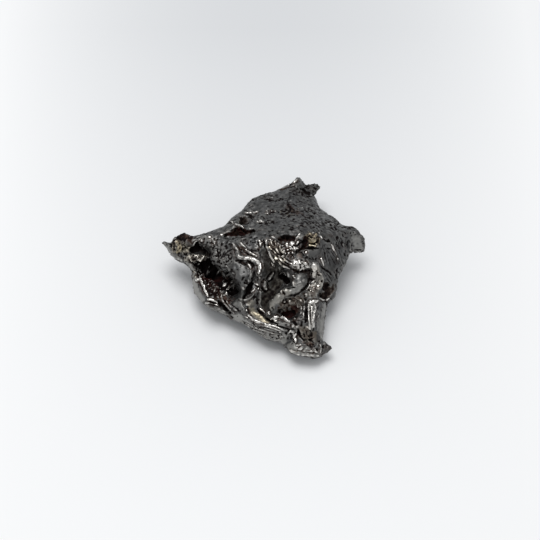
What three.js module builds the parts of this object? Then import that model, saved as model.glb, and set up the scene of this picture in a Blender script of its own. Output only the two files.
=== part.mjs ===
// An iron meteorite: one shard of torn, folded metal with four points, lying on a surface.
// Units are millimetres and +Z is up. The origin is at the middle of the bottom of its bounding box.
//
// The stone is drawn as it looks along one main view, from in front and above. A place on it is
// written [u, v, height]: u to the right and v upwards across that view, and the height above the
// surface that the stone lies on. Two smooth sheets, the seen side and the hidden side, meet at the
// outline. Strokes then raise ridges and carve hollows in each sheet.
import * as THREE from "three";
import { ImprovedNoise } from "three/addons/math/ImprovedNoise.js";
import { mergeVertices } from "three/addons/utils/BufferGeometryUtils.js";

// Driving dimensions
const VIEW_ELEVATION = THREE.MathUtils.degToRad(50);
const VIEW_DISTANCE = 320;
const EDGE_RADIUS = 1.1; // rounding where the two sheets meet
const CENTRE = [-1.2, -0.6]; // in the view, where the rings of vertices spread out from
const RINGS = 28; // rings of vertices from the centre to the outline, on each sheet
const LUMP_SIZE = 3.4; // the uneven metal between the strokes
const LUMP_RISE = 0.3;
const GRAIN_SIZE = 1.5;
const GRAIN_RISE = 0.12;
const CARVED_SHARE = 0.42; // the most of the body's thickness that a hollow takes away
const NORMAL_PASSES = 4; // smoothing of the directions that the relief rises in
const EASING = 0.5; // smoothing of the finished relief, as a share of the way to the neighbours' mean
const EASING_PASSES = 2;

// The outline, anticlockwise from the left point, as [u, v, height]
const LEFT_ARM_LOWER_EDGE = [
  [-21.8, 5.4, 6.1],
  [-20.9, 4.4, 5.6],
  [-20.1, 3.2, 5.3],
  [-18.6, 1.9, 5.0],
  [-17.1, 1.1, 4.8],
  [-15.9, 0.1, 4.5],
];
const BELLY_EDGE = [
  [-15.7, -2.0, 4.2],
  [-15.3, -4.1, 4.0],
  [-14.3, -5.7, 3.6],
  [-13.2, -6.9, 3.4],
  [-11.0, -8.1, 3.2],
  [-8.0, -9.8, 3.0],
  [-5.4, -10.9, 3.0],
  [-2.8, -12.6, 2.9],
  [-0.1, -14.2, 2.5],
  [2.4, -14.8, 2.2],
];
const FOOT_EDGE = [
  [3.1, -15.7, 2.0],
  [4.6, -16.9, 1.7],
  [7.0, -17.3, 1.6],
  [9.5, -17.6, 1.6],
  [10.7, -16.9, 2.0],
  [12.2, -16.1, 2.5],
  [12.5, -15.4, 2.7],
  [11.0, -15.0, 2.8],
  [10.6, -14.3, 2.9],
  [10.8, -13.0, 3.0],
];
const FLANK_EDGE = [
  [11.0, -9.5, 3.5],
  [11.6, -7.2, 3.8],
  [13.0, -5.7, 4.0],
  [13.5, -3.9, 4.5],
  [13.8, -1.7, 5.5],
  [14.8, 0.4, 6.0],
  [15.9, 2.6, 5.8],
];
const FIN_EDGE = [
  [16.7, 3.8, 4.4],
  [19.0, 3.7, 3.7],
  [19.0, 5.4, 5.5],
  [18.4, 7.1, 7.3],
  [16.9, 8.5, 8.0],
  [14.4, 9.1, 7.6],
];
const BACK_EDGE = [
  [13.2, 10.4, 7.0],
  [11.5, 11.4, 6.6],
  [9.8, 12.7, 6.0],
  [9.4, 13.9, 5.6],
  [8.8, 15.0, 5.2],
  [9.3, 15.8, 5.3],
  [10.1, 16.4, 5.6],
  [9.8, 17.2, 6.0],
  [8.4, 17.5, 6.3],
  [7.3, 17.1, 6.2],
  [6.6, 17.8, 6.6],
  [6.3, 18.4, 6.9],
  [5.6, 18.8, 7.2],
  [4.5, 17.8, 6.8],
  [2.5, 16.5, 6.6],
  [0.8, 15.8, 7.0],
  [-2.3, 14.9, 7.5],
  [-4.4, 13.5, 8.0],
  [-5.8, 12.0, 8.5],
  [-7.5, 10.5, 9.0],
  [-9.2, 8.8, 9.4],
];
const LEFT_ARM_UPPER_EDGE = [
  [-11.5, 8.0, 9.4],
  [-13.5, 7.3, 9.0],
  [-15.8, 6.9, 8.5],
  [-17.4, 7.5, 8.0],
  [-19.0, 6.5, 7.0],
  [-20.1, 5.4, 6.5],
  [-21.2, 5.9, 6.4],
];
const OUTLINE = [
  ...LEFT_ARM_LOWER_EDGE,
  ...BELLY_EDGE,
  ...FOOT_EDGE,
  ...FLANK_EDGE,
  ...FIN_EDGE,
  ...BACK_EDGE,
  ...LEFT_ARM_UPPER_EDGE,
];

// The seen side, as [u, v, height]
const CREST = [
  [-18.0, 5.0, 7.6],
  [-14.0, 6.2, 9.5],
  [-9.0, 6.8, 11.4],
  [-4.0, 6.9, 12.9],
  [1.0, 7.1, 13.9],
  [6.0, 7.6, 14.0],
  [10.0, 7.7, 12.8],
  [14.0, 7.6, 10.6],
  [16.8, 7.0, 8.4],
  [17.6, 5.2, 6.4],
];
const FRONT_RIDGE = [
  [9.2, 3.0, 12.0],
  [9.4, -1.0, 10.2],
  [8.7, -5.0, 8.5],
  [8.4, -9.0, 7.0],
  [7.6, -13.0, 5.4],
  [7.0, -15.6, 4.2],
];
const FLANK = [
  [12.5, 4.0, 10.0],
  [12.0, 0.0, 8.2],
  [11.5, -3.5, 6.6],
  [14.5, 3.0, 8.0],
  [10.0, -10.0, 5.0],
];
const FRONT_FACE = [
  [-12.0, 3.0, 9.2],
  [-14.0, -1.0, 7.2],
  [-8.0, 2.0, 10.2],
  [-4.0, 1.0, 10.8],
  [-5.0, -4.0, 8.7],
  [0.0, -3.0, 9.3],
  [0.0, -8.0, 7.0],
  [-9.0, -5.0, 7.0],
  [-4.0, -9.5, 5.6],
  [4.0, -3.0, 9.9],
  [4.0, -8.0, 7.8],
  [0.0, -12.0, 4.8],
  [4.0, -13.2, 4.8],
  [-11.0, -6.6, 5.3],
];
const BACK_FACE = [
  [-9.0, 7.9, 10.8],
  [-5.0, 10.0, 10.7],
  [0.0, 9.0, 12.6],
  [0.0, 12.5, 10.0],
  [4.0, 12.0, 10.5],
  [4.0, 15.5, 8.0],
  [6.0, 17.0, 7.8],
  [8.2, 15.9, 6.9],
  [8.0, 11.0, 10.2],
  [11.0, 9.5, 10.0],
  [5.0, 9.5, 12.4],
];
const SEEN_SIDE = [...CREST, ...FRONT_RIDGE, ...FLANK, ...FRONT_FACE, ...BACK_FACE];

// The hidden side, as [u, v, height] along the same sight lines. The stone rests on three spots
// that are drawn a little below the surface and cut off flat there.
const RESTING_SPOTS = [
  [-8.0, -6.6, -0.5],
  [7.8, -13.6, -0.5],
  [3.6, 8.4, -0.5],
];
const UNDERSIDE = [
  [-18.0, 5.3, 4.6],
  [-14.0, 3.2, 3.2],
  [-10.0, 6.6, 4.4],
  [-12.0, -1.0, 1.6],
  [-5.0, 4.6, 1.8],
  [-6.0, 9.0, 3.6],
  [0.0, 0.0, 1.2],
  [0.0, -8.0, 1.0],
  [0.0, 12.0, 2.4],
  [5.4, 13.4, 2.0],
  [6.2, 16.4, 4.4],
  [8.0, 0.0, 1.6],
  [9.0, -5.5, 1.7],
  [7.4, -16.2, 1.0],
  [10.0, 6.4, 2.4],
  [14.0, 4.6, 4.2],
  [17.2, 6.0, 5.4],
];

// Relief on the seen side. A ridge or a hollow has a half width, a height or a depth, and the path that
// it follows in [u, v].
const ridge = (half, height, ...path) => ({ half, rise: height, path });
const hollow = (half, depth, ...path) => ({ half, rise: -depth, path });
const SEEN_RELIEF = {
  greatHollow: hollow(2.9, 4.0, [-13.6, 0.6], [-11.7, -1.0], [-9.8, -2.4], [-8.2, -4.0]),
  floorOfTheGreatHollow: hollow(2.0, 1.6, [-12.2, -2.4], [-11.4, -3.8]),
  upperPocket: hollow(1.4, 2.0, [-15.3, 3.8], [-14.1, 4.4], [-12.9, 3.5]),
  bridgeBetweenTheHollows: ridge(1.5, 1.4, [-16.6, 2.4], [-15.0, 2.4], [-13.4, 2.2]),
  rimOfTheGreatHollow: ridge(1.2, 0.7, [-14.8, -1.4], [-13.7, -2.8], [-12.6, -4.6]),
  yellowKnob: ridge(1.7, 0.8, [-18.6, 4.8], [-17.9, 4.0]),
  tongue: ridge(2.4, 1.0, [-8.0, 2.2], [-6.2, 0.6], [-5.5, -1.5], [-5.8, -4.4]),
  slotBesideTheTongue: hollow(1.3, 1.3, [-3.3, -2.8], [-4.3, -4.2], [-5.2, -5.6]),
  windingRidge: ridge(1.2, 0.9, [-6.5, 4.3], [-6.0, 2.9], [-4.4, 2.5], [-2.6, 1.7], [-2.1, 0.2]),
  windingRidgeEnd: ridge(1.2, 0.8, [-2.1, 0.1], [-2.4, -1.9], [-2.5, -3.7], [-3.8, -4.6]),
  basin: hollow(2.4, 1.6, [-0.8, 3.4], [0.4, 0.6], [1.0, -2.4], [-0.6, -5.4], [-1.2, -7.0]),
  holeInTheBasin: hollow(1.3, 1.3, [2.3, -0.9], [3.5, -2.1]),
  finger: ridge(1.7, 1.6, [0.8, -7.0], [2.3, -5.3], [4.2, -4.3], [6.0, -3.4], [5.6, -1.8]),
  shiningKnob: ridge(1.8, 1.1, [5.3, 1.2], [6.6, 1.0], [7.6, 0.8]),
  cleftBelowTheKnob: hollow(1.0, 0.9, [3.6, 0.7], [5.0, -0.1], [6.5, -0.4], [8.0, -0.4]),
  cleftBesideTheRightFold: hollow(1.0, 0.9, [8.0, -0.4], [7.6, -2.2], [7.2, -3.6]),
  pocketBelowTheCrest: hollow(1.5, 1.3, [2.3, 6.2], [3.4, 6.1], [4.5, 6.4]),
  redPocket: hollow(1.1, 1.0, [7.2, 6.3], [7.0, 5.2], [6.7, 4.2]),
  goldKnob: ridge(1.5, 0.8, [7.9, 6.4], [8.7, 6.1], [9.1, 5.5]),
  longFold: ridge(1.2, 0.8, [-0.3, 5.9], [0.0, 4.4], [0.9, 3.0], [2.2, 1.8], [3.4, 0.8]),
  rightFold: ridge(1.7, 1.1, [8.5, 0.8], [9.3, -0.8], [9.5, -2.4], [8.8, -4.0], [7.7, -5.4]),
  standingRib: ridge(1.2, 1.0, [9.2, -6.3], [8.3, -6.9], [8.2, -9.0], [8.0, -11.8]),
  flankNotch: hollow(1.6, 1.3, [11.3, -3.1], [11.6, -4.2], [10.7, -5.2]),
  darkHole: hollow(1.5, 1.9, [2.9, -9.1], [3.8, -8.9], [4.5, -8.4]),
  shiningTrough: hollow(1.2, 0.8, [-3.8, -8.3], [-2.2, -9.4], [-0.4, -10.2]),
  lowerLip: ridge(1.1, 1.0, [-5.0, -7.8], [-4.5, -9.0], [-2.4, -10.4], [0.2, -11.1], [2.6, -11.5]),
  innerLip: ridge(1.0, 0.8, [0.3, -9.6], [1.6, -9.7], [4.0, -10.4]),
  bellySlot: hollow(1.1, 1.2, [-10.4, -5.8], [-9.4, -7.2], [-8.2, -8.5]),
  bellyLobe: ridge(1.2, 0.8, [-12.0, -6.1], [-10.9, -6.8]),
  footLedge: ridge(1.1, 0.8, [4.0, -16.1], [6.6, -16.7], [9.4, -17.1]),
  ankle: hollow(1.6, 0.9, [3.0, -13.9], [5.6, -13.8], [7.4, -13.9]),
  crestCrevice: hollow(1.4, 1.6, [-8.6, 7.1], [-6.6, 7.6], [-4.0, 7.8]),
  creviceLip: ridge(1.2, 0.6, [-7.0, 9.1], [-5.6, 8.7]),
  backPocket: hollow(1.5, 1.2, [-5.3, 9.6], [-4.5, 10.3], [-3.7, 10.7]),
  finHollow: hollow(1.7, 0.7, [15.9, 5.6], [17.3, 4.9]),
  tipNotch: hollow(1.3, 0.9, [7.0, 16.6], [7.9, 15.2]),
};

// Relief on the hidden side: wide shallow hollows like thumb prints, the ribs left between them,
// and a few holes.
const HIDDEN_RELIEF = {
  thumbPrintUnderTheLeftArm: hollow(3.8, 1.2, [-15.4, 4.0], [-12.6, 3.2]),
  thumbPrintBehindTheLeftArm: hollow(3.6, 1.4, [-9.4, 6.4], [-7.4, 7.8]),
  thumbPrintAtTheMiddle: hollow(3.6, 1.5, [-3.4, 1.2], [-1.6, 2.4]),
  thumbPrintUnderTheBelly: hollow(3.4, 1.2, [-2.0, -6.4], [1.0, -7.6]),
  thumbPrintUnderTheFlank: hollow(3.6, 1.4, [10.2, -1.4], [9.8, -4.4]),
  thumbPrintUnderTheFin: hollow(2.8, 0.9, [12.8, 5.2], [14.6, 5.6]),
  thumbPrintUnderTheBackPoint: hollow(3.2, 1.1, [5.4, 12.8], [6.2, 15.0]),
  thumbPrintAtTheBackEdge: hollow(3.2, 1.2, [-2.4, 11.4], [0.6, 12.6]),
  ribToTheLeftArm: ridge(1.5, 0.9, [-12.0, 0.4], [-8.6, 3.4], [-5.6, 6.0]),
  ribToTheBackPoint: ridge(1.5, 0.9, [1.6, 4.8], [3.2, 9.6], [3.4, 13.4]),
  ribToTheFoot: ridge(1.5, 0.8, [4.2, -1.6], [5.4, -6.2], [6.6, -10.2]),
  ribToTheFin: ridge(1.5, 0.8, [6.4, 2.8], [10.2, 3.4], [13.4, 3.0]),
  holeByTheFoot: hollow(1.6, 1.6, [3.6, -10.4], [4.4, -11.2]),
  holeByTheLeftArm: hollow(1.6, 1.5, [-11.2, -2.4], [-10.4, -3.4]),
};

// Sheets, strokes and the frame of the main view

const SINE = Math.sin(VIEW_ELEVATION);
const COSINE = Math.cos(VIEW_ELEVATION);

// Depth towards the viewer of the point that is seen at a view height v and stands at a height.
function depthAt(v, height) {
  return (height - v * COSINE) / (SINE - (v * COSINE) / VIEW_DISTANCE);
}

// The place in space that is seen at [u, v] and lies a depth nearer than the view's middle.
function placeAt(u, v, depth) {
  const nearer = 1 - depth / VIEW_DISTANCE;
  const up = v * nearer;
  return new THREE.Vector3(u * nearer, up * SINE - depth * COSINE, up * COSINE + depth * SINE);
}

// Solves a square set of linear equations by elimination, each row ending in its right-hand side.
function solve(rows) {
  const size = rows.length;
  for (let column = 0; column < size; column++) {
    let pivot = column;
    for (let row = column + 1; row < size; row++)
      if (Math.abs(rows[row][column]) > Math.abs(rows[pivot][column])) pivot = row;
    [rows[column], rows[pivot]] = [rows[pivot], rows[column]];
    for (let row = 0; row < size; row++) {
      if (row === column) continue;
      const share = rows[row][column] / rows[column][column];
      for (let k = column; k <= size; k++) rows[row][k] -= share * rows[column][k];
    }
  }
  return rows.map((row, i) => row[size] / row[i]);
}

// A thin-plate sheet: the smoothest surface of heights that passes through all the points.
function sheetThrough(points) {
  const bend = (du, dv) => {
    const squared = du * du + dv * dv;
    return squared > 0 ? squared * Math.log(squared) : 0;
  };
  const rows = points.map(([u, v, height]) => [
    ...points.map(([otherU, otherV]) => bend(u - otherU, v - otherV)),
    1,
    u,
    v,
    height,
  ]);
  for (const term of [() => 1, (p) => p[0], (p) => p[1]]) rows.push([...points.map(term), 0, 0, 0, 0]);
  const weights = solve(rows);
  const [level, slopeU, slopeV] = weights.slice(points.length);
  return (u, v) =>
    points.reduce(
      (height, [pu, pv], i) => height + weights[i] * bend(u - pu, v - pv),
      level + slopeU * u + slopeV * v,
    );
}

// Distance from [u, v] to a path of straight runs.
function distanceToPath(u, v, path) {
  let nearest = Infinity;
  for (let i = 1; i < path.length; i++) {
    const [u0, v0] = path[i - 1];
    const [du, dv] = [path[i][0] - u0, path[i][1] - v0];
    const along = ((u - u0) * du + (v - v0) * dv) / (du * du + dv * dv);
    const share = THREE.MathUtils.clamp(along, 0, 1);
    nearest = Math.min(nearest, Math.hypot(u - u0 - share * du, v - v0 - share * dv));
  }
  return nearest;
}

// A stroke's path laid on a sheet as a line of points in space.
function laidOn(sheet, path) {
  const STEP = 0.5;
  const curve = new THREE.CatmullRomCurve3(path.map(([u, v]) => new THREE.Vector3(u, v, 0)));
  const steps = Math.ceil(curve.getLength() / STEP);
  return curve.getSpacedPoints(steps).map(({ x, y }) => placeAt(x, y, sheet(x, y)));
}

// Distance in space from a place to a line of points.
const nearestOnRun = new THREE.Vector3();
const run = new THREE.Line3();
function distanceToLine(place, line) {
  let nearest = Infinity;
  for (let i = 1; i < line.length; i++) {
    run.set(line[i - 1], line[i]).closestPointToPoint(place, true, nearestOnRun);
    nearest = Math.min(nearest, nearestOnRun.distanceTo(place));
  }
  return nearest;
}

// Sum of the strokes at a place, each full near its line and fading to nothing at its half width.
function reliefAt(place, strokes) {
  const FULL_SHARE = 0.2;
  let rise = 0;
  for (const stroke of strokes) {
    const share = distanceToLine(place, stroke.line) / stroke.half;
    rise += stroke.rise * (1 - THREE.MathUtils.smoothstep(share, FULL_SHARE, 1));
  }
  return rise;
}

// Noise in space, from -1 to 1, for the uneven metal between the strokes.
const noise = new ImprovedNoise();
function roughnessAt(place) {
  const lumps = noise.noise(place.x / LUMP_SIZE, place.y / LUMP_SIZE, place.z / LUMP_SIZE);
  const grain = noise.noise(place.x / GRAIN_SIZE, place.y / GRAIN_SIZE, place.z / GRAIN_SIZE);
  return LUMP_RISE * lumps + GRAIN_RISE * grain;
}

// The body

// A ball of triangles from two six-sided cones: its top half becomes the seen sheet, its bottom
// half the hidden one and its equator the outline.
function twoSheetBall() {
  const SIDES = 6;
  const corners = [0, 0, 1, 0, 0, -1];
  const faces = [];
  for (let i = 0; i < SIDES; i++) {
    const angle = (i / SIDES) * 2 * Math.PI;
    corners.push(Math.cos(angle), Math.sin(angle), 0);
    const [here, next] = [2 + i, 2 + ((i + 1) % SIDES)];
    faces.push(0, here, next, 1, next, here);
  }
  const ball = new THREE.PolyhedronGeometry(corners, faces, 1, RINGS - 1);
  ball.deleteAttribute("normal");
  ball.deleteAttribute("uv");
  return mergeVertices(ball, 1e-5);
}

// Where a vertex of the ball lies on its sheet: its share of the way from the centre to the outline,
// and its share of the way round.
function sheetShares(x, y, z) {
  const SECTOR = Math.PI / 3;
  const turn = (Math.atan2(y, x) + 2 * Math.PI) % (2 * Math.PI);
  const sector = Math.floor(turn / SECTOR + 1e-6);
  const into = Math.max(turn - sector * SECTOR, 0);
  const ahead = Math.sin(into);
  const behind = Math.sin(SECTOR - into);
  const across = (Math.hypot(x, y) * (ahead + behind)) / Math.sin(SECTOR);
  return {
    out: across / (across + Math.abs(z)),
    round: ((sector + ahead / (ahead + behind)) / 6) % 1,
  };
}

// The vertices that share an edge with each vertex.
function neighboursOf(geometry) {
  const neighbours = Array.from({ length: geometry.getAttribute("position").count }, () => new Set());
  const corners = geometry.index.array;
  for (let i = 0; i < corners.length; i += 3) {
    const [a, b, c] = corners.slice(i, i + 3);
    neighbours[a].add(b).add(c);
    neighbours[b].add(a).add(c);
    neighbours[c].add(a).add(b);
  }
  return neighbours.map((set) => [...set]);
}

// Draws each vector a share of the way to the mean of its neighbours, again and again.
function smoothed(vectors, neighbours, share, passes, fixed = () => false) {
  let current = vectors;
  for (let pass = 0; pass < passes; pass++)
    current = current.map((vector, i) => {
      if (fixed(i)) return vector;
      const mean = new THREE.Vector3();
      for (const other of neighbours[i]) mean.addScaledVector(current[other], 1 / neighbours[i].length);
      return vector.clone().lerp(mean, share);
    });
  return current;
}

function meteoriteGeometry() {
  const OUTLINE_SAMPLES = 300;
  const outline = new THREE.CatmullRomCurve3(
    OUTLINE.map((point) => new THREE.Vector3(...point)),
    true,
    "centripetal",
  );
  outline.arcLengthDivisions = OUTLINE_SAMPLES;
  const outlinePath = outline.getSpacedPoints(OUTLINE_SAMPLES).map((p) => [p.x, p.y]);
  const edgeHeight = EDGE_RADIUS * SINE;
  const seenHeight = sheetThrough([...OUTLINE.map(([u, v, h]) => [u, v, h + edgeHeight]), ...SEEN_SIDE]);
  const hiddenHeight = sheetThrough([
    ...OUTLINE.map(([u, v, h]) => [u, v, h - edgeHeight]),
    ...RESTING_SPOTS,
    ...UNDERSIDE,
  ]);
  const edgeDrop = (u, v) => {
    const inward = Math.min(distanceToPath(u, v, outlinePath), EDGE_RADIUS);
    return EDGE_RADIUS - Math.sqrt(EDGE_RADIUS ** 2 - (EDGE_RADIUS - inward) ** 2);
  };
  const seenSheet = (u, v) => depthAt(v, seenHeight(u, v)) - edgeDrop(u, v);
  const hiddenSheet = (u, v) => depthAt(v, hiddenHeight(u, v)) + edgeDrop(u, v);
  const edgeSheet = (u, v) => (seenSheet(u, v) + hiddenSheet(u, v)) / 2;

  const geometry = twoSheetBall();
  const position = geometry.getAttribute("position");
  const neighbours = neighboursOf(geometry);
  const vertices = [];
  for (let i = 0; i < position.count; i++) {
    const ballHeight = position.getZ(i);
    const { out, round } = sheetShares(position.getX(i), position.getY(i), ballHeight);
    const edge = outline.getPointAt(round);
    const u = CENTRE[0] + out * (edge.x - CENTRE[0]);
    const v = CENTRE[1] + out * (edge.y - CENTRE[1]);
    const onOutline = Math.abs(ballHeight) < 1e-4;
    const sheet = onOutline ? edgeSheet : ballHeight > 0 ? seenSheet : hiddenSheet;
    vertices.push({ u, v, onOutline, sheet, place: placeAt(u, v, sheet(u, v)) });
  }

  vertices.forEach(({ place }, i) => position.setXYZ(i, place.x, place.y, place.z));
  geometry.computeVertexNormals();
  const normal = geometry.getAttribute("normal");
  const rawNormals = vertices.map((_, i) => new THREE.Vector3().fromBufferAttribute(normal, i));
  const normals = smoothed(rawNormals, neighbours, 1, NORMAL_PASSES);
  const laid = (strokes, sheet) =>
    Object.values(strokes).map((stroke) => ({ ...stroke, line: laidOn(sheet, stroke.path) }));
  const seenStrokes = laid(SEEN_RELIEF, seenSheet);
  const hiddenStrokes = laid(HIDDEN_RELIEF, hiddenSheet);
  const raised = vertices.map(({ u, v, onOutline, sheet, place }, i) => {
    const strokes = sheet === seenSheet ? seenStrokes : hiddenStrokes;
    const deepest = -CARVED_SHARE * (seenSheet(u, v) - hiddenSheet(u, v));
    const rise = onOutline ? 0 : Math.max(reliefAt(place, strokes), deepest);
    return place.clone().addScaledVector(normals[i].normalize(), rise + roughnessAt(place));
  });
  const eased = smoothed(raised, neighbours, EASING, EASING_PASSES, (i) => vertices[i].onOutline);
  eased.forEach(({ x, y, z }, i) => position.setXYZ(i, x, y, Math.max(z, 0)));

  geometry.computeBoundingBox();
  const middle = geometry.boundingBox.getCenter(new THREE.Vector3());
  geometry.translate(-middle.x, -middle.y, -geometry.boundingBox.min.z);
  geometry.computeVertexNormals();
  geometry.userData.sightPoint = [-middle.x, -middle.y]; // where the view's middle line meets the ground
  return geometry;
}

const iron = new THREE.MeshStandardMaterial({ color: 0x3f3f40, roughness: 0.42, metalness: 0.85 });
const meteorite = new THREE.Mesh(meteoriteGeometry(), iron);
meteorite.name = "meteorite";

const part = new THREE.Group();
part.add(meteorite);
export default part;
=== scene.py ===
"""An iron meteorite on a pale floor: a shard of torn, folded metal with a dark crust, ridges worn
bright and rust in its hollows."""
import math
import random

import bmesh
import bpy
import numpy as np
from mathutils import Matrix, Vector, noise
from mathutils.bvhtree import BVHTree


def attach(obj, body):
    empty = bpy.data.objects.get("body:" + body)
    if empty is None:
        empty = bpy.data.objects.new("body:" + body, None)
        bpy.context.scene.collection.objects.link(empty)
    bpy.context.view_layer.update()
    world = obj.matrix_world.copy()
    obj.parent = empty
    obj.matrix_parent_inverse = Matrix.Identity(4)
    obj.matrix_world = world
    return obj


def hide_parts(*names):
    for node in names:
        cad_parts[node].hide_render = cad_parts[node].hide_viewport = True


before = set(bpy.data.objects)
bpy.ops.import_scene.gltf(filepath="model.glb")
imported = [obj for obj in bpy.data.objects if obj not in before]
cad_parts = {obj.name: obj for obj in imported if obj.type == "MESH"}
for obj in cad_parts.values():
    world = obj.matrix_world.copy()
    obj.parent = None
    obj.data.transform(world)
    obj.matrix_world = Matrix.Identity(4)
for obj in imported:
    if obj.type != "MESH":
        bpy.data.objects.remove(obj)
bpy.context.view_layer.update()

MM = 0.001

# Driving values, with lengths in millimetres
SIGHT_POINT = np.array([1.249, 2.434, 0.0])  # where the middle line of the main view meets the floor
VIEW_ELEVATION = math.radians(50)
VIEW_DISTANCE = 320.0
VIEW_HALF_WIDTH = 54.0  # half of what the view takes in, at the sight point
MESH_STEP = 0.14  # spacing of the vertices for sculpting
MOST_TRIANGLES = 196000  # what the sculpted mesh is thinned to
PATH_STEP = 0.35  # spacing of the points along a stroke
WIDEST_TAPERED = 0.7  # strokes of up to this half width run out thin at their ends
TRENCH_SHARE = 0.35  # depth of the trench along a thin ridge, as a share of its height
TRENCH_DARK = 0.7  # crust and rust left in it by a bright ridge, the black also painting shade in the trench
TRENCH_RUST = 0.8
STRAY = 0.13  # how far the points of strokes in a row stray
STRAY_AT_ENDS = 0.36
SPOT_RISE = 0.42  # height of a scattered knob, or depth of a pit, as a share of its half width
CREASE_HEIGHT = 0.14
LUMP_HEIGHT = 0.12
DIMPLE_DEPTH = 0.18
SPECK_DEPTH = 0.07
GRAIN_HEIGHT = 0.04
STREAK_HEIGHT = 0.08  # on the back face
DENT_DEPTH = 0.18  # on the back face
BUMP_HEIGHT = 0.1  # of the grain in the material
FLOOR_WIDTH = 2000.0
LIGHT_PLACE = np.array([-40.0, 70.0, 390.0])
LIGHT_WIDTH = 310.0
LIGHT_POWER = 0.975
SKY_STRENGTH = 0.56
SENSOR_WIDTH = 36.0
SEED = 11

# Colours
DARK_METAL = (0.045, 0.045, 0.045)
GREY_METAL = (0.11, 0.11, 0.11)
PALE_METAL = (0.29, 0.285, 0.27)
YELLOW_METAL = (0.38, 0.325, 0.22)
BRIGHT_METAL = (0.74, 0.715, 0.675)
BRIGHT_YELLOW = (0.72, 0.63, 0.45)
BROWN_RUST = (0.07, 0.045, 0.035)
RED_RUST = (0.04, 0.01, 0.009)
BLACK_CRUST_AND_SHADE = (0.005, 0.003, 0.003)
PINHOLE = (0.006, 0.004, 0.003)
# Floor: painted shade behind the stone, painted light to its front and sides
FLOOR_SHADED_BEHIND = (0.64, 0.65, 0.665)
FLOOR_LIT_IN_FRONT = (0.93, 0.935, 0.94)
FLOOR_LIT_ASIDE = (0.95, 0.95, 0.95)
SKY = (0.97, 0.985, 1.0)

# Roughness and grain of the material
DULLEST = 0.5
LEAST_DULL = 0.32
RUST_ROUGHNESS = 0.7
CRUST_ROUGHNESS = 0.65
BRIGHT_ROUGHNESS = 0.2
FINE_SCALE = 2600.0  # lumps to a metre
PINHOLE_SCALE = 2300.0
BROAD_SCALE = 700.0

# Frame of the main view: a place in it is [u, v], in millimetres to the right and upwards
ACROSS = np.array([1.0, 0.0, 0.0])
UPWARDS = np.array([0.0, math.sin(VIEW_ELEVATION), math.cos(VIEW_ELEVATION)])
TOWARDS = np.array([0.0, -math.cos(VIEW_ELEVATION), math.sin(VIEW_ELEVATION)])
EYE = SIGHT_POINT + VIEW_DISTANCE * TOWARDS


# Strokes: each has a half width, a rise or a depth, the path that it follows in the main view, and
# what it leaves on the metal: shine (worn bright), pale (grey metal), gold (yellow metal), rust, dark
# (black crust, and also painted shade where it is laid in grooves, pits and hollows) and calm (smooth metal)

def ridge(half, height, *path, **paint):
    return {"half": half, "rise": height, "path": path, "paint": paint}


def groove(half, depth, *path, **paint):
    return ridge(half, -depth, *path, **paint)


def stain(half, *path, **paint):
    return ridge(half, 0.0, *path, **paint)


knob = ridge  # at a single place
pit = groove  # at a single place
chance = random.Random(SEED)


def spots(kind, count, reach, *path, half=(0.2, 0.42), **paint):
    """Pits or knobs at random within a reach of a path, with half widths in the given range."""
    strokes = []
    for _ in range(count):
        start = chance.randrange(max(len(path) - 1, 1))
        end = min(start + 1, len(path) - 1)
        share = chance.random()
        away = reach * math.sqrt(chance.random())
        turn = chance.uniform(0.0, 2.0 * math.pi)
        u = path[start][0] + share * (path[end][0] - path[start][0]) + away * math.cos(turn)
        v = path[start][1] + share * (path[end][1] - path[start][1]) + away * math.sin(turn)
        width = chance.uniform(*half)
        strokes.append(kind(width, SPOT_RISE * width, (u, v), **paint))
    return strokes


def row(kind, count, shift, half, height, *path, **paint):
    """A row of like ridges or grooves, each shifted by [du, dv] from the one before and straying a little."""
    du, dv = shift
    ends = (path[0], path[-1])
    strokes = []
    for i in range(count):
        strayed = []
        for place in path:
            stray = STRAY_AT_ENDS if place in ends else STRAY
            u = place[0] + i * du + chance.uniform(-stray, stray)
            v = place[1] + i * dv + chance.uniform(-stray, stray)
            strayed.append((u, v))
        strokes.append(kind(half, height, *strayed, **paint))
    return strokes


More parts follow.
